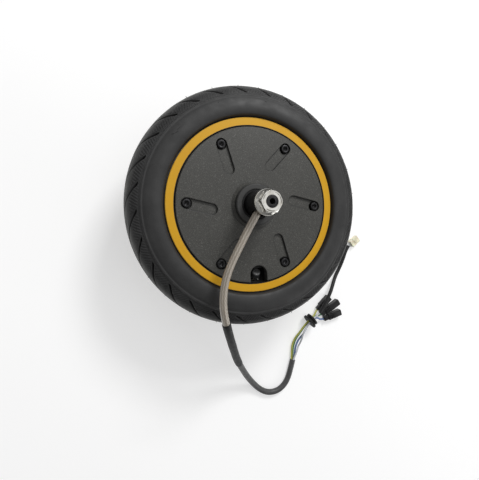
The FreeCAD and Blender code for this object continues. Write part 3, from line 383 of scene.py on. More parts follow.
FINISHES = {
    "tyre_rubber": tyre_finish(),
    "yellow_paint": gold_paint(),
    "dark_paint": powder_coat("dark_paint_finish", (0.043, 0.0425, 0.0375), (0.165, 0.162, 0.150)),
    "black_steel": black_oxide("cap_screw_finish", (0.02, 0.02, 0.021), 0.34, (0.3, 0.29, 0.27)),
    "black_rubber": rubber("black_rubber_finish", (0.006, 0.006, 0.0063), 0.55, Specular_IOR_Level=0.25),
    "bearing_steel": metal("bearing_steel_finish", (0.56, 0.56, 0.57), 0.2, (1, 1, 6)),
    "magnet": metal("magnet_finish", (0.60, 0.60, 0.61), 0.3, stain=(0.45, 0.42, 0.38)),
    "valve_brass": metal("valve_brass_finish", (0.70, 0.50, 0.22), 0.25, (1, 1, 5), stain=(0.42, 0.27, 0.1)),
    "valve_nickel": metal("valve_nickel_finish", (0.80, 0.79, 0.74), 0.14, (1, 1, 5)),
    "black_plastic": rubber("black_plastic_finish", (0.005, 0.005, 0.0053), 0.34, 0.35, 0.035,
                            Specular_IOR_Level=0.3),
    "axle_black": black_oxide("axle_black_finish", (0.024, 0.024, 0.025), 0.34, (0.30, 0.29, 0.27)),
    "cast_aluminium": metal("cast_aluminium_finish", (0.62, 0.62, 0.63), 0.42, grain_size=0.9, depth=0.1),
    "lamination": laminated("lamination_finish", (0.30, 0.30, 0.32), 0.5),
    "insulator": rubber("insulator_finish", (0.62, 0.57, 0.42), 0.5),
    "copper": coil_finish(),
    "circuit_board": rubber("circuit_board_finish", (0.02, 0.11, 0.04), 0.3, 0.8, 0.03),
    "sleeve_black": black_oxide("sleeve_black_finish", (0.010, 0.010, 0.0105), 0.30, (0.10, 0.10, 0.095)),
    # The last ring gives the nut a painted dark reflection band between 7.9 and 9.3 mm.
    "bright_zinc": metal("bright_zinc_finish", (0.76, 0.75, 0.71), 0.07, (1, 1, 3), 0.9,
                         (0.52, 0.49, 0.43), (0.13, 0.12, 0.10), 0.10, (7.9, 9.3)),
    "braided_sheath": braid_finish(),
    "shrink_black": rubber("shrink_black_finish", (0.007, 0.007, 0.0073), 0.5, 0.8, 0.04,
                           Specular_IOR_Level=0.35),
    "jacket_black": rubber("jacket_black_finish", (0.05, 0.05, 0.0505), 0.42, 0.6, 0.04),
    "wire_yellow": wire_finish("wire_yellow_finish", (0.42, 0.42, 0.08)),
    "wire_green": wire_finish("wire_green_finish", (0.06, 0.21, 0.08)),
    "wire_blue": wire_finish("wire_blue_finish", (0.10, 0.17, 0.38)),
    "wire_grey": wire_finish("wire_grey_finish", (0.60, 0.62, 0.64)),
    "cream_plastic": rubber("cream_plastic_finish", (0.70, 0.66, 0.50), 0.34, 0.5, 0.02,
                            Subsurface_Weight=0.08, Subsurface_Scale=0.001),
    "tin": metal("tin_finish", (0.72, 0.72, 0.70), 0.22),
}
SLOTS = {part["node"]: part["material_slot"] for part in frame["record"]["subparts"]}
for node_name, node_object in frame["nodes"].items():
    node_object.data.materials.clear()
    node_object.data.materials.append(FINISHES[SLOTS[node_name]])
    for polygon in node_object.data.polygons:
        polygon.material_index = 0


# --------------------------------------------------
# Mesh helpers
# --------------------------------------------------
def finished(item, slot, body, replaced=()):
    """Give a piece its finish and body, and hide the CAD nodes that it stands in for."""
    item.data.materials.clear()
    item.data.materials.append(FINISHES[slot])
    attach(item, body)
    if replaced:
        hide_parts(*replaced)
    return item


def mesh_object(name, vertices, faces, smooth=40):
    """An object from points in metres; edges sharper than smooth degrees stay hard."""
    mesh = bpy.data.meshes.new(name)
    mesh.from_pydata([tuple(v) for v in vertices], [], [tuple(f) for f in faces])
    mesh.validate()
    work = bmesh.new()
    work.from_mesh(mesh)
    bmesh.ops.recalc_face_normals(work, faces=work.faces)
    work.to_mesh(mesh)
    work.free()
    mesh.shade_smooth()
    mesh.set_sharp_from_angle(angle=math.radians(smooth))
    item = bpy.data.objects.new(name, mesh)
    bpy.context.scene.collection.objects.link(item)
    return item


def grid_faces(rows, columns, closed_rows=False):
    """Quads of a grid whose columns close on themselves."""
    faces = []
    for row in range(rows if closed_rows else rows - 1):
        below, above = row * columns, (row + 1) % rows * columns
        for column in range(columns):
            after = (column + 1) % columns
            faces.append((below + column, below + after, above + after, above + column))
    return faces


def capped(name, vertices, columns, smooth):
    """A closed object from rings of vertices, with a flat face on the first and the last ring."""
    last = len(vertices) - columns
    faces = grid_faces(len(vertices) // columns, columns)
    faces += [tuple(reversed(range(columns))), tuple(range(last, last + columns))]
    return mesh_object(name, vertices, faces, smooth)


def centreline(points):
    """The points of the smooth line that a NURBS cord with these control points follows."""
    guide = nurbs("guide", points)
    mesh = bpy.data.meshes.new_from_object(guide)
    line = np.array([vertex.co[:] for vertex in mesh.vertices])
    bpy.data.meshes.remove(mesh)
    data = guide.data
    bpy.data.objects.remove(guide)
    bpy.data.curves.remove(data)
    return line


def nurbs(name, points, diameter=0):
    """A round cord along control points."""
    data = bpy.data.curves.new(name, "CURVE")
    data.dimensions = "3D"
    data.resolution_u = 12
    data.bevel_depth = diameter / 2
    data.bevel_resolution = 6
    data.use_fill_caps = True
    spline = data.splines.new("NURBS")
    spline.points.add(len(points) - 1)
    for control, point in zip(spline.points, points):
        control.co = (*point, 1)
    spline.order_u = 3
    spline.use_endpoint_u = True
    item = bpy.data.objects.new(name, data)
    bpy.context.scene.collection.objects.link(item)
    return item


def resampled(line, start, end, step):
    """Points at even steps between two distances along a line, and those distances."""
    gaps = np.linalg.norm(np.diff(line, axis=0), axis=1)
    run = np.concatenate([[0], np.cumsum(gaps)])
    distances = np.linspace(start, end, max(2, int(round((end - start) / step)) + 1))
    return np.column_stack([np.interp(distances, run, line[:, axis]) for axis in range(3)]), distances


def length_of(line):
    """The length of a line of points."""
    return float(np.linalg.norm(np.diff(line, axis=0), axis=1).sum())


def swept(name, points, radii, sides, relief=None, smooth=50):
    """A closed tube along points, with one radius per point. relief(row, column) adds to the radius."""
    tangents = np.gradient(points, axis=0)
    tangents /= np.linalg.norm(tangents, axis=1)[:, None]
    side = Vector(tangents[0]).orthogonal().normalized()
    vertices = []
    for row, (point, tangent) in enumerate(zip(points, tangents)):
        tangent = Vector(tangent)
        side = (side - tangent * side.dot(tangent)).normalized()
        other = tangent.cross(side)
        for column in range(sides):
            angle = 2 * math.pi * column / sides
            radius = radii[row] + (relief(row, column) if relief else 0)
            vertices.append(Vector(point) + (side * math.cos(angle) + other * math.sin(angle)) * radius)
    return capped(name, vertices, sides, smooth)


def join(items, name):
    """Several objects as one."""
    with bpy.context.temp_override(active_object=items[0], selected_objects=items,
                                   selected_editable_objects=items):
        bpy.ops.object.join()
    items[0].name = name
    items[0].data.name = name
    return items[0]


# --------------------------------------------------
# Cable and wires
# --------------------------------------------------
MAIN_ROUTE = mm([
    (-4.8, -8, 50), (-12.9, -21.4, 50), (-20.9, -36.9, 49.5), (-28.4, -52.3, 48), (-34.2, -66.5, 46.5),
    (-37, -80.8, 45), (-37.5, -95.2, 44), (-35, -108.5, 41), (-30, -122.4, 33), (-23, -138, 19),
    (-15, -154.1, 2), (-6.2, -171.3, -17), (4.5, -188.2, -35), (17, -207, -53), (29.6, -223.2, -65.5),
    (39.5, -233.4, -70), (49, -239.2, -70.2), (58.9, -240.6, -70.2), (68.1, -238.3, -70.2),
    (75.6, -232.5, -70.2), (80.6, -224.4, -70.2), (84, -213.9, -70.2), (87.4, -200.9, -70.2),
])
YELLOW_ROUTE = mm([
    (85.8, -200.2, -70.2), (86.2, -190.3, -71), (87.2, -180.8, -71.4), (91, -171.3, -69.8),
    (97.2, -163, -67.2), (104, -152, -64), (116, -142.6, -64), (119.2, -140.3, -66.6),
    (121.7, -138.2, -69.1), (124.4, -136.1, -69.7),
])
GREEN_ROUTE = mm([
    (87.5, -200.6, -72), (88.5, -190.8, -72.2), (89.9, -181.6, -72.6), (93.5, -172.5, -71.6),
    (99, -164.6, -69.6), (105.1, -153.4, -65.8), (117.1, -144, -65.8), (121.6, -143.6, -68),
    (126.3, -144.9, -69.7), (130.2, -142.8, -69.7),
])
BLUE_ROUTE = mm([
    (89.2, -201, -70.2), (90.5, -191.2, -70.2), (92, -182.2, -69.9), (96.4, -173.9, -70),
    (102.8, -167, -67.8), (106.2, -154.8, -64), (118.2, -145.4, -64), (123.6, -146.6, -66.4),
    (129, -150.2, -69.5), (134.2, -149.4, -69.7),
])
GREY_ROUTE = mm([
    (87.5, -200.6, -68.4), (91.5, -191.5, -66.6), (95.4, -183.4, -69.4), (98.2, -176, -66.4),
    (99.3, -166.4, -62.9), (105.1, -153.4, -62), (117.1, -144, -62), (123.8, -138.7, -61.6),
])
HALL_ROUTE = mm([
    (124.1, -138.4, -61.6), (129.5, -130.5, -61.2), (134.5, -121.5, -60.8), (140.5, -111, -61.6),
    (146.8, -101, -66), (153, -91.5, -70.4), (159, -82, -71.4), (163.6, -73.4, -71.4),
    (167, -65.4, -71.4), (169.6, -58.6, -71.4), (172, -53.2, -71.4), (175, -48.8, -71.4),
])
SHEATH_SHARE = 0.3165      # where the pale sheath ends, as a share of the main cable's length
SHRINK_SHARE = 0.579       # where the heat-shrink ends
JACKET_DIAMETER, SHEATH_RADIUS = 7.4, 3.66
SHEATH_OVERLAP = 3         # how far the sheath runs on inside the heat-shrink
SHEATH_STEP, SHRINK_STEP = 0.36, 0.7

main_cable = finished(nurbs("main_cable", MAIN_ROUTE, JACKET_DIAMETER * MM), "jacket_black", "axle",
                      ["cable_jacket"])
main_line = centreline(MAIN_ROUTE)
main_length = length_of(main_line)

# The braid: two sets of flat strands that cross over and under each other round the cable.
BRAID_STRANDS, BRAID_PITCH, BRAID_RELIEF, BRAID_SIDES = 18, 4.2, 0.10, 108
sheath_points, sheath_run = resampled(main_line, 0, main_length * SHEATH_SHARE + SHEATH_OVERLAP * MM,
                                      SHEATH_STEP * MM)


def braid(row, column):
    """(height from 0 to 1, which of the two sets is on top) of the braid at a vertex."""
    around = column / BRAID_SIDES * BRAID_STRANDS
    along = sheath_run[row] / MM / BRAID_PITCH
    left, right = around + along, around - along
    on_top = (math.floor(left) + math.floor(right)) % 4 < 2
    return abs(math.sin(math.pi * (left if on_top else right))) ** 0.6, on_top


sheath = swept("braided_sheath", sheath_points, [SHEATH_RADIUS * MM] * len(sheath_points), BRAID_SIDES,
               lambda row, column: braid(row, column)[0] * BRAID_RELIEF * MM, 80)
marks = {"strand": [], "height": []}
for vertex_row in range(len(sheath_points)):
    for vertex_column in range(BRAID_SIDES):
        vertex_height, vertex_strand = braid(vertex_row, vertex_column)
        marks["strand"].append(float(vertex_strand))
        marks["height"].append(vertex_height)
for mark_name, mark_values in marks.items():
    sheath.data.attributes.new(mark_name, "FLOAT", "POINT").data.foreach_set("value", mark_values)
braid_uv = sheath.data.uv_layers.new(name="braid")
for loop in sheath.data.loops:
    braid_uv.data[loop.index].uv = (loop.vertex_index % BRAID_SIDES / BRAID_SIDES,
                                    loop.vertex_index // BRAID_SIDES * 0.01)
finished(sheath, "braided_sheath", "axle", ["cable_sheath"])

# Heat-shrink: shrunk down to the cable at both ends, with a few soft ripples.
shrink_points, shrink_run = resampled(main_line, main_length * SHEATH_SHARE, main_length * SHRINK_SHARE,
                                      SHRINK_STEP * MM)
ripples = random.Random(4)
ripple_phases = [ripples.uniform(0, 6.28) for _ in range(4)]
MOUTH_RADIUS, MOUTH_RISE, MOUTH_LENGTH, RIPPLE = 3.95, 0.35, 2.2, 0.025


def shrink_radius(distance):
    """The tube's radius at a distance from its first end."""
    end = min(distance, shrink_run[-1] - shrink_run[0] - distance) / MM
    mouth = MOUTH_RADIUS + MOUTH_RISE * min(1.0, end / MOUTH_LENGTH) ** 0.5
    wave = sum(math.sin(distance / MM / (3.5 + 2.3 * i) + phase) for i, phase in enumerate(ripple_phases))
    return (mouth + RIPPLE * wave) * MM


shrink = swept("heat_shrink", shrink_points, [shrink_radius(d - shrink_run[0]) for d in shrink_run], 40)
finished(shrink, "shrink_black", "axle", ["cable_heat_shrink"])

for wire_name, wire_route, wire_diameter, wire_slot, wire_node in (
        ("wire_yellow", YELLOW_ROUTE, 2.4, "wire_yellow", "phase_wire_yellow"),
        ("wire_green", GREEN_ROUTE, 2.4, "wire_green", "phase_wire_green"),
        ("wire_blue", BLUE_ROUTE, 2.4, "wire_blue", "phase_wire_blue"),
        ("wire_grey", GREY_ROUTE, 2.4, "wire_grey", "hall_lead_grey"),
        ("sensor_cable", HALL_ROUTE, 5.0, "shrink_black", "hall_cable")):
    cord = nurbs(wire_name, wire_route, wire_diameter * MM)
    finished(cord, wire_slot, "axle", [wire_node])

# --------------------------------------------------
# Tyre
# --------------------------------------------------
# Half of the outside, from the middle of the tread to the bead: (radius, height) of points on a smooth line.
TREAD_HALF = [
    (125.3, 0), (125.3, 4), (125.0, 8.4), (124.1, 12.4), (122.4, 16.2), (119.4, 19.2), (115.8, 21.6),
    (112.6, 23.2),
]
WALL_HALF = [
    (111.5, 23.9), (110.9, 25.1), (110.3, 25.7), (109.5, 25.7), (108.6, 25.8), (106.4, 27.0), (103.4, 28.0),
    (100, 28.75), (97, 28.85), (94.4, 28.5), (92.5, 27.9), (91.4, 27.2), (90.7, 26.2), (90.35, 24.8),
    (90.1, 23.4), (89.8, 22.2), (89.6, 21.0),
]
INSIDE_HALF = [(82.7, 20.8), (82.7, 11.2), (88, 12.5), (94, 23.2), (107, 20.2), (115, 9), (115.4, 0)]
PITCHES = 28                # how often the tread's pattern repeats round the tyre
SWEEP = math.radians(22)    # how far a long groove turns between the middle of the tread and its edge
GROOVE_DEPTH = 3.6
SHOULDER_RADIUS = 118       # turns a distance round the shoulder into an angle


def smooth_line(points, pieces):
    """A smooth line through points (Catmull-Rom), with a number of pieces between each two."""
    p = np.array([points[0], *points, points[-1]], float)
    line = []
    for i in range(1, len(p) - 2):
        for t in np.linspace(0, 1, pieces, endpoint=False):
            a, b, c, d = p[i - 1:i + 3]
            line.append(0.5 * (2 * b + (c - a) * t + (2 * a - 5 * b + 4 * c - d) * t ** 2
                               + (3 * b - a - 3 * c + d) * t ** 3))
    line.append(p[-2])
    return np.array(line)


tread_line = smooth_line(TREAD_HALF, 5)
wall_line = smooth_line([TREAD_HALF[-1]] + WALL_HALF, 3)[1:]
inside_line = smooth_line([WALL_HALF[-1]] + INSIDE_HALF, 1)[1:]
outer = np.vstack([tread_line, wall_line])
outer_run = np.concatenate([[0], np.cumsum(np.linalg.norm(np.diff(outer, axis=0), axis=1))])
tread_run = outer_run[len(tread_line) - 1]
# Columns of vertices across a groove: (offset from its middle in half-widths, share of its depth).
GROOVE_COLUMNS = [(-1.25, 0.0), (-1.0, 0.06), (-0.72, 0.9), (-0.4, 1.0), (0.4, 1.0), (0.72, 0.9), (1.0, 0.06),
                  (1.25, 0.0)]
LONG_START, LONG_END, SHORT_START, SHORT_END = 0.04, 0.95, 0.03, 0.42
LONG_CENTRE, SHORT_CENTRE = 0.25, 0.75      # where the two grooves start, as shares of a pitch


def sweep_at(share):
    """How far the groove has turned at a share of the way from the tread's middle (0) to its edge (1)."""
    return SWEEP * (1 - share) ** 1.15


def long_groove(share):
    """(half-width in mm, depth share) of the long groove at a share of the way to the edge."""
    if share > LONG_END or share < LONG_START:
        return 0.6, 0.0
    depth_share = min(1.0, (share - LONG_START) / 0.15, (LONG_END - share) / 0.06)
    return 0.95 + 0.95 * (share / 0.9) ** 1.3, depth_share


def short_groove(share):
    """The same for the short groove near the middle, half a pitch away."""
    if share > SHORT_END or share < SHORT_START:
        return 0.35, 0.0
    return 0.62, min(1.0, (share - SHORT_START) / 0.1, (SHORT_END - share) / 0.1) * 0.7


column_spec = []            # the columns of one pitch: (share of the pitch, offset, depth share, groove)
for groove, centre_share in ((long_groove, LONG_CENTRE), (short_groove, SHORT_CENTRE)):
    column_spec += [(centre_share, offset, depth_share, groove) for offset, depth_share in GROOVE_COLUMNS]
    column_spec += [(centre_share + filler, 0, 0, None) for filler in (0.14, 0.25, 0.36)]


def tyre_ring(radius, height, share, normal):
    """One ring of vertices, cut into by the grooves where share is on the tread."""
    ring = []
    turn = sweep_at(min(1.0, share))
    for pitch in range(PITCHES):
        for centre_share, offset, depth_share, groove in column_spec:
            angle = (pitch + centre_share) / PITCHES * 2 * math.pi + turn
            sink = 0.0
            if groove:
                half_width, deep = groove(share)
                angle += offset * half_width / radius
                sink = depth_share * deep * GROOVE_DEPTH
            r, z = radius - normal[0] * sink, height - normal[1] * sink
            ring.append((r * math.cos(angle) * MM, r * math.sin(angle) * MM, z * MM))
            groove_marks.append(sink / GROOVE_DEPTH)
    return ring


outer_normals = np.gradient(outer, axis=0)
outer_normals = np.column_stack([outer_normals[:, 1], -outer_normals[:, 0]])
outer_normals /= np.linalg.norm(outer_normals, axis=1)[:, None]
halves = []                 # (radius, height, share, normal) from the tread's middle to the inside's middle
for side in (1, -1):
    section = [(r, z * side, run / tread_run, (n[0], n[1] * side))
               for (r, z), run, n in zip(outer, outer_run, outer_normals)]
    section += [(r, z * side, 9.0, (1, 0)) for r, z in inside_line]
    halves.append(section)
section = halves[0] + halves[1][::-1][1:-1]
tyre_vertices, groove_marks = [], []
for r, z, share, normal in section:
    tyre_vertices += tyre_ring(r, z, share, normal)
tyre_faces = grid_faces(len(section), PITCHES * len(column_spec), True)
tyre = mesh_object("tyre_detail", tyre_vertices, tyre_faces, 48)
tyre.data.attributes.new("groove", "FLOAT", "POINT").data.foreach_set("value", groove_marks)
finished(tyre, "tyre_rubber", "rotor", ["tyre"])


def on_tyre(run, angle, lift, side):
    """A point at a distance along the outside profile, lifted off it along its normal."""
    radius, height, out, up = (np.interp(run, outer_run, column) for column in
                               (outer[:, 0], outer[:, 1], outer_normals[:, 0], outer_normals[:, 1]))
    radius, height = radius + out * lift, (height + up * lift) * side
    return radius * math.cos(angle) * MM, radius * math.sin(angle) * MM, height * MM


def run_at(radius):
    """The distance along the outside profile where it comes down to a radius, in the shoulder or the wall."""
    return float(np.interp(-radius, -outer[:, 0], outer_run))


def in_groove(run, angle, margin):
    """Whether a spot on the shoulder lies in a long groove."""
    share = run / tread_run
    half_width, deep = long_groove(share)
    step = 2 * math.pi / PITCHES
    away = (angle - sweep_at(min(1.0, share)) - LONG_CENTRE * step + step / 2) % step - step / 2
    return deep > 0 and abs(away) * SHOULDER_RADIUS < half_width + margin


# The shoulder's fine ribbed band: slanted bars that stop where a groove cuts through them.
RIB_COUNT, RIB_HEIGHT, RIB_LEAN, RIB_STATIONS = 250, 0.6, 0.045, 9
RIB_START, RIB_END, RIB_MARGIN, RIB_ROOT = 120.0, 112.4, 0.7, -0.2
RIB_FOOT, RIB_TOP = 0.8 / SHOULDER_RADIUS, 0.4 / SHOULDER_RADIUS     # half-widths, as angles
rib_vertices, rib_faces = [], []
for side in (1, -1):
    for number in range(RIB_COUNT):
        before = None
        for station in range(RIB_STATIONS):
            t = station / (RIB_STATIONS - 1)
            run = run_at(RIB_START) * (1 - t) + run_at(RIB_END) * t
            angle = 2 * math.pi * number / RIB_COUNT + RIB_LEAN * t
            if in_groove(run, angle, RIB_MARGIN):
                before = None
                continue
            height = RIB_HEIGHT * min(1.0, 5 * t + 0.1, 5 * (1 - t) + 0.1)
            start = len(rib_vertices)
            rib_vertices += [on_tyre(run, angle + across, lift, side) for across, lift in (
                (-RIB_FOOT, RIB_ROOT), (-RIB_TOP, height), (RIB_TOP, height), (RIB_FOOT, RIB_ROOT))]
            if before is not None:
                rib_faces += [(before + a, before + (a + 1) % 4, start + (a + 1) % 4, start + a)
                              for a in range(4)]
            before = start
finished(mesh_object("shoulder_ribs", rib_vertices, rib_faces, 20), "tyre_rubber", "rotor")


def spike(foot, direction, radius, length, sides=6):
    """Vertices and faces of a small peg that tapers to half its width."""
    direction = Vector(direction).normalized()
    across = direction.orthogonal().normalized()
    over = direction.cross(across)
    vertices = []
    for share, width in ((-0.2, 1.0), (0.7, 0.75), (1.0, 0.5)):
        for number in range(sides):
            turn = 2 * math.pi * number / sides
            vertices.append(Vector(foot) + direction * length * share
                            + (across * math.cos(turn) + over * math.sin(turn)) * radius * width)
    return vertices, grid_faces(3, sides) + [tuple(range(2 * sides, 3 * sides))]


# Moulding vents: fine whiskers on the tread's edge and stubs on the wall.
EDGE_VENTS_RADIUS, WALL_VENTS_RADIUS, WALL_VENTS = 123.4, 105.5, 14
vent_random = random.Random(11)
vent_vertices, vent_faces = [], []
for side in (1, -1):
    spots = [(run_at(EDGE_VENTS_RADIUS), (number + 0.62) / PITCHES, 0.28, vent_random.uniform(0.8, 2.4))
             for number in range(PITCHES)]
    spots += [(run_at(WALL_VENTS_RADIUS), (number + 0.3) / WALL_VENTS, 0.5, 0.45)
              for number in range(WALL_VENTS)]
    for run, turn, radius, length in spots:
        angle = 2 * math.pi * (turn + vent_random.uniform(-0.004, 0.004))
        foot, top = Vector(on_tyre(run, angle, 0, side)), Vector(on_tyre(run, angle, 1, side))
        tilt = Vector([vent_random.uniform(-0.3, 0.3) for _ in range(3)])
        vertices, faces = spike(foot, (top - foot).normalized() + tilt, radius * MM, length * MM)
        start = len(vent_vertices)
        vent_vertices += vertices
        vent_faces += [tuple(start + index for index in face) for face in faces]
finished(mesh_object("vent_whiskers", vent_vertices, vent_faces, 60), "tyre_rubber", "rotor")

# A plain raised arrow on each wall that shows which way the wheel turns.
ARROW = [(-9, -0.9), (0, -0.9), (0, -2.6), (6.5, 0), (0, 2.6), (0, 0.9), (-9, 0.9)]
ARROW_RADIUS, ARROW_TURN = 104, math.radians(139)
arrow_vertices, arrow_faces = [], []
for side in (1, -1):
    start = len(arrow_vertices)
    for lift in (-0.3, 0.4):
        for along, out in ARROW:
            arrow_vertices.append(on_tyre(run_at(ARROW_RADIUS + out), ARROW_TURN + along / ARROW_RADIUS,
                                          lift, side))
    count = len(ARROW)
    arrow_faces += [tuple(first + index for index in range(count)) for first in (start + count, start)]
    arrow_faces += [(start + index, start + (index + 1) % count, start + count + (index + 1) % count,
                     start + count + index) for index in range(count)]
finished(mesh_object("turning_arrow", arrow_vertices, arrow_faces, 30), "tyre_rubber", "rotor")


# --------------------------------------------------
# Axle with cut threads
# --------------------------------------------------
def lathed(name, rows, columns, smooth=40, place=None):
    """A closed turned solid. Rows are (radius or function of the angle, height); closed at both ends."""
    place = place or Matrix.Identity(4)
    vertices = []
    for radius, height in rows:
        for column in range(columns):
            angle = 2 * math.pi * column / columns
            r = radius(angle) if callable(radius) else radius
            vertices.append(place @ Vector((r * math.cos(angle) * MM, r * math.sin(angle) * MM, height * MM)))
    return capped(name, vertices, columns, smooth)


THREAD_PITCH, THREAD_DEPTH, THREAD_RADIUS, THREAD_END_RADIUS, THREAD_STEP = 1.25, 0.62, 6.0, 5.35, 0.16
AXLE_END, FRONT_STEP, BACK_STEP, FLAT_START, FLAT_HALF, AXLE_RADIUS = 74, 59.5, 58, 44.5, 6, 8.5


def thread_rows(start, end):
    """Rows of a cut thread between two heights, the first at the bar's outer end."""
    rows = []
    for height in np.linspace(start, end, int(abs(end - start) / THREAD_STEP) + 1):
        limit = min(THREAD_RADIUS, THREAD_END_RADIUS + abs(height - start))

        def radius(angle, height=height, limit=limit):
            turn = (height / THREAD_PITCH - angle / (2 * math.pi)) % 1
            root = THREAD_RADIUS - THREAD_DEPTH * max(0.0, min(1.0, 1.25 - abs(turn - 0.5) * 4))
            return min(limit, root)
        rows.append((radius, float(height)))
    return rows


def flat_sided(angle):
    """The radius of the bar where two flats are milled on it."""
    return min(AXLE_RADIUS, FLAT_HALF / max(abs(math.sin(angle)), 1e-6))


axle_rows = [(0.02, 64.1), (2.1, 65.2), (2.35, 65.6), (2.35, 73.2), (3.0, AXLE_END), (5.2, AXLE_END)]
axle_rows += thread_rows(AXLE_END - 0.05, FRONT_STEP)
axle_rows += [(8.2, FRONT_STEP), (AXLE_RADIUS, FRONT_STEP - 0.3), (AXLE_RADIUS, 18.5), (11, 18.5),
              (11, -18.5), (AXLE_RADIUS, -18.5), (AXLE_RADIUS, -FLAT_START), (flat_sided, -FLAT_START - 0.01),
              (flat_sided, -BACK_STEP + 0.3), (lambda angle: min(8.2, flat_sided(angle)), -BACK_STEP)]
axle_rows += thread_rows(-AXLE_END + 0.05, -BACK_STEP)[::-1]
axle_rows += [(5.2, -AXLE_END), (1.6, -AXLE_END), (1.2, -AXLE_END + 0.8), (0.02, -AXLE_END + 1.6)]
finished(lathed("axle_threaded", axle_rows, 96), "axle_black", "axle", ["axle"])


# --------------------------------------------------
# Cover screws: knurled cap heads with a hexagon socket
# --------------------------------------------------
def knurled(radius, depth, count):
    """The radius, as a function of the angle, of a head with grooves round it."""
    return lambda angle: radius - depth * (0.5 + 0.5 * math.cos(angle * count)) ** 2


def hexagon(half_across):
    """The radius, as a function of the angle, of a hexagon with the given half-width across its flats."""
    return lambda angle: half_across / math.cos((angle + math.pi / 6) % (math.pi / 3) - math.pi / 6)


SCREW_ROWS = [
    (0.02, 4), (2.1, 4), (2.5, 4.5), (2.5, 19.4), (4.0, 19.5), (4.2, 19.8), (knurled(4.25, 0.16, 30), 20.1),
    (knurled(4.25, 0.16, 30), 23.7), (knurled(4.2, 0.05, 30), 24.0), (3.95, 24.3), (3.7, 24.45), (3.4, 24.5),
    (2.75, 24.5), (2.45, 24.35), (hexagon(2.0), 24.0), (hexagon(2.0), 22.1), (1.7, 21.8), (0.02, 21.1),
]
SCREW_COUNT, SCREW_CIRCLE = 6, 68.4
for side, side_name in ((1, "front"), (-1, "back")):
    screws = []
    for number in range(SCREW_COUNT):
        turn = Matrix.Rotation(math.radians(360 / SCREW_COUNT * number), 4, "Z")
        turn = turn if side > 0 else Matrix.Rotation(math.pi, 4, "X") @ turn
        own_turn = Matrix.Rotation(math.radians(37 * number), 4, "Z")     # where each head came to a stop
        place = turn @ Matrix.Translation((SCREW_CIRCLE * MM, 0, 0)) @ own_turn
        screws.append(lathed(f"{side_name}_screw_{number}", SCREW_ROWS, 120, 30, place))
    joined = join(screws, f"{side_name}_cap_screws")
    finished(joined, "black_steel", "rotor", [f"{side_name}_cover_screws"])

# --------------------------------------------------
# Valve: ribbed cap
# --------------------------------------------------
VALVE_TURN, VALVE_RADIUS, VALVE_HEIGHT = math.radians(-86), 78, 6.25
valve_out = Vector((math.cos(VALVE_TURN), math.sin(VALVE_TURN), 0))
valve_base = (valve_out * VALVE_RADIUS + Vector((0, 0, VALVE_HEIGHT))) * MM
valve_lean = (Vector((0, 0, 9)) - valve_out * 7.5).normalized()
valve_place = Matrix.Translation(valve_base) @ valve_lean.to_track_quat("Z", "Y").to_matrix().to_4x4()
CAP_ROWS = [
    (0.02, 13.0), (4.05, 13.0), (4.05, 6.0), (4.5, 6.0), (4.75, 6.4), (knurled(4.75, 0.4, 20), 6.7),
    (knurled(4.75, 0.4, 20), 12.2), (knurled(4.6, 0.1, 20), 12.9), (4.35, 13.5), (3.95, 13.85), (3.4, 14.0),
    (2.5, 14.0), (2.3, 13.75), (1.5, 13.7), (1.35, 13.9), (0.02, 13.95),
]
finished(lathed("valve_cap_ribbed", CAP_ROWS, 120, 35, valve_place), "jacket_black", "rotor", ["valve_cap"])


# --------------------------------------------------
# Connectors
# --------------------------------------------------
def lofted(name, rows, place, sides=64):
    """A closed solid along its own X axis. Rows are (x, half-width, half-height, squareness)."""
    vertices = []
    for x, half_width, half_height, squareness in rows:
        for number in range(sides):
            angle = 2 * math.pi * (number + 0.5) / sides
            y, z = (math.copysign(abs(c) ** (2 / squareness), c) for c in (math.cos(angle), math.sin(angle)))
            vertices.append(place @ Vector((x * MM, y * half_width * MM, z * half_height * MM)))
    return capped(name, vertices, sides, 40)


def placed(point, turn):
    """A place on the floor, given in millimetres, turned about Z by degrees."""
    return Matrix.Translation(Vector(point) * MM) @ Matrix.Rotation(math.radians(turn), 4, "Z")


def bullet_housing(name, start, turn, length):
    """Housing of a single bullet contact: a tail for the wire, a ribbed grip and a barrel with a mouth."""
    rows = [(0, 2.9, 2.9, 6), (0.3, 3.2, 3.2, 7), (6.0, 3.2, 3.2, 7), (6.8, 4.0, 4.0, 8),
            (7.1, 4.25, 4.25, 9)]
    for ridge in range(3):
        x = 8.6 + ridge * 1.9
        rows += [(x, 4.25, 4.25, 9), (x + 0.3, 3.85, 3.85, 9), (x + 0.9, 3.85, 3.85, 9),
                 (x + 1.2, 4.25, 4.25, 9)]
    rows += [(length - 0.5, 4.25, 4.25, 9), (length, 3.9, 3.9, 8), (length, 3.3, 3.3, 2),
             (length - 0.3, 3, 3, 2), (length - 9, 3, 3, 2)]
    return lofted(name, rows, placed(start, turn))


HOUSINGS = {                # (tail, turn in degrees, length)
    "a": ((124.7, -135.8, -69.7), 42, 24),
    "b": ((130.5, -142.6, -69.7), 31, 31),
    "c": ((134.5, -149.3, -69.7), 17, 27),
}
for letter, (start, turn, length) in HOUSINGS.items():
    housing = bullet_housing(f"bullet_housing_{letter}", start, turn, length)
    finished(housing, "black_plastic", "axle", [f"phase_connector_{letter}"])

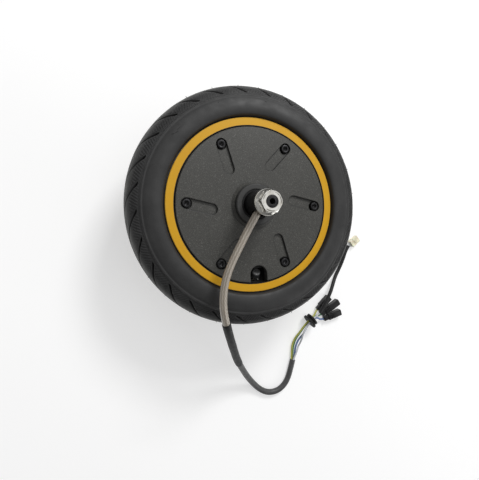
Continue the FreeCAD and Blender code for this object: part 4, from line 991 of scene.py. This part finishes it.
PLUG_ROWS = [
    (4.0, 4.5, 3.0, 8), (4.3, 5, 3.5, 12), (7.6, 5, 3.5, 12), (7.8, 4.7, 3.2, 12), (8.6, 4.7, 3.2, 12),
    (8.8, 5, 3.5, 12), (17.7, 5, 3.5, 12), (18, 4.8, 3.3, 10), (18, 4.2, 2.7, 10), (17.8, 4, 2.5, 10),
    (12, 4, 2.5, 10),
]
LATCH_ROWS = [(9.6, 1.4, 0.3, 6), (9.8, 1.6, 0.8, 8), (13.5, 1.6, 0.8, 8), (15.8, 1.6, 0.35, 8),
              (16, 1.4, 0.2, 6)]
plug_place = placed((175, -48.8, -70.5), 38)
latch_place = plug_place @ Matrix.Translation((0, 0, 3.4 * MM))
plug = join([lofted("plug_body", PLUG_ROWS, plug_place), lofted("plug_latch", LATCH_ROWS, latch_place, 32)],
            "sensor_plug_housing")
finished(plug, "cream_plastic", "axle", ["hall_connector"])

# --------------------------------------------------
# CAD nodes that keep their shape get rounded edges
# --------------------------------------------------
for node_name, width in (
        ("hub_shell", 0.4), ("front_cover", 0.35), ("back_cover", 0.35), ("axle_nut", 0.45),
        ("axle_washer", 0.4), ("front_spacer_sleeve", 0.3), ("back_spacer_sleeve", 0.3), ("valve_nut", 0.25),
        ("cable_exit_bush", 0.3), ("cable_grommet", 0.5), ("phase_bullets", 0.2), ("front_dust_seal", 0.2),
        ("back_dust_seal", 0.2)):
    bevel = frame["nodes"][node_name].modifiers.new("edges", "BEVEL")
    bevel.width = width * MM
    bevel.segments = 2
    bevel.limit_method = "ANGLE"
    bevel.angle_limit = math.radians(35)

# --------------------------------------------------
# Stage
# --------------------------------------------------
FLOOR_SIZE = 6.0
floor = mesh_object("floor", [(x * FLOOR_SIZE, y * FLOOR_SIZE, FLOOR_HEIGHT) for x, y in
                              ((-1, -1), (1, -1), (1, 1), (-1, 1))], [(0, 1, 2, 3)])
pale = Finish("floor_finish", (0.62, 0.62, 0.62), 0.8, Emission_Color=(1, 1, 1, 1), Emission_Strength=0.46)
pale.coat_colour(pale.spread(pale.noise(400, 2), 0.3, 0.7), (0.60, 0.60, 0.60))
floor.data.materials.append(pale.done())

SKY = ((0.0, 0.25), (0.22, 0.3), (0.5, 0.95), (1.0, 1.0))     # (height of the direction, grey)
SKY_STRENGTH = 0.34
world = bpy.data.worlds.new("studio")
bpy.context.scene.world = world
world.use_nodes = True
sky = world.node_tree
direction = sky.nodes.new("ShaderNodeTexCoord").outputs["Generated"]
up = sky.nodes.new("ShaderNodeSeparateXYZ")
sky.links.new(direction, up.inputs[0])
ramp = sky.nodes.new("ShaderNodeValToRGB")
for position, _ in SKY[1:-1]:
    ramp.color_ramp.elements.new(position)
for element, (_, grey) in zip(ramp.color_ramp.elements, SKY):
    element.color = (grey, grey, grey, 1)
sky.links.new(up.outputs[2], ramp.inputs[0])
sky.links.new(ramp.outputs[0], sky.nodes["Background"].inputs["Color"])
sky.nodes["Background"].inputs["Strength"].default_value = SKY_STRENGTH


def area_light(name, position, size, power):
    """A soft rectangular light that faces the wheel's centre."""
    data = bpy.data.lights.new(name, "AREA")
    data.shape = "RECTANGLE"
    data.size, data.size_y = size
    data.energy = power
    item = bpy.data.objects.new(name, data)
    bpy.context.scene.collection.objects.link(item)
    item.location = position
    item.rotation_euler = (-Vector(position)).to_track_quat("-Z", "Y").to_euler()


area_light("key_light", (0.45, 1.1, 1.05), (0.5, 0.4), 17)
area_light("left_light", (-1.2, 0.3, 0.9), (0.4, 1.2), 0.3)
area_light("right_light", (1.2, -0.7, 0.5), (1.0, 0.8), 4.4)
area_light("floor_light", (0.15, 0.75, 2.4), (2.6, 2.2), 10)
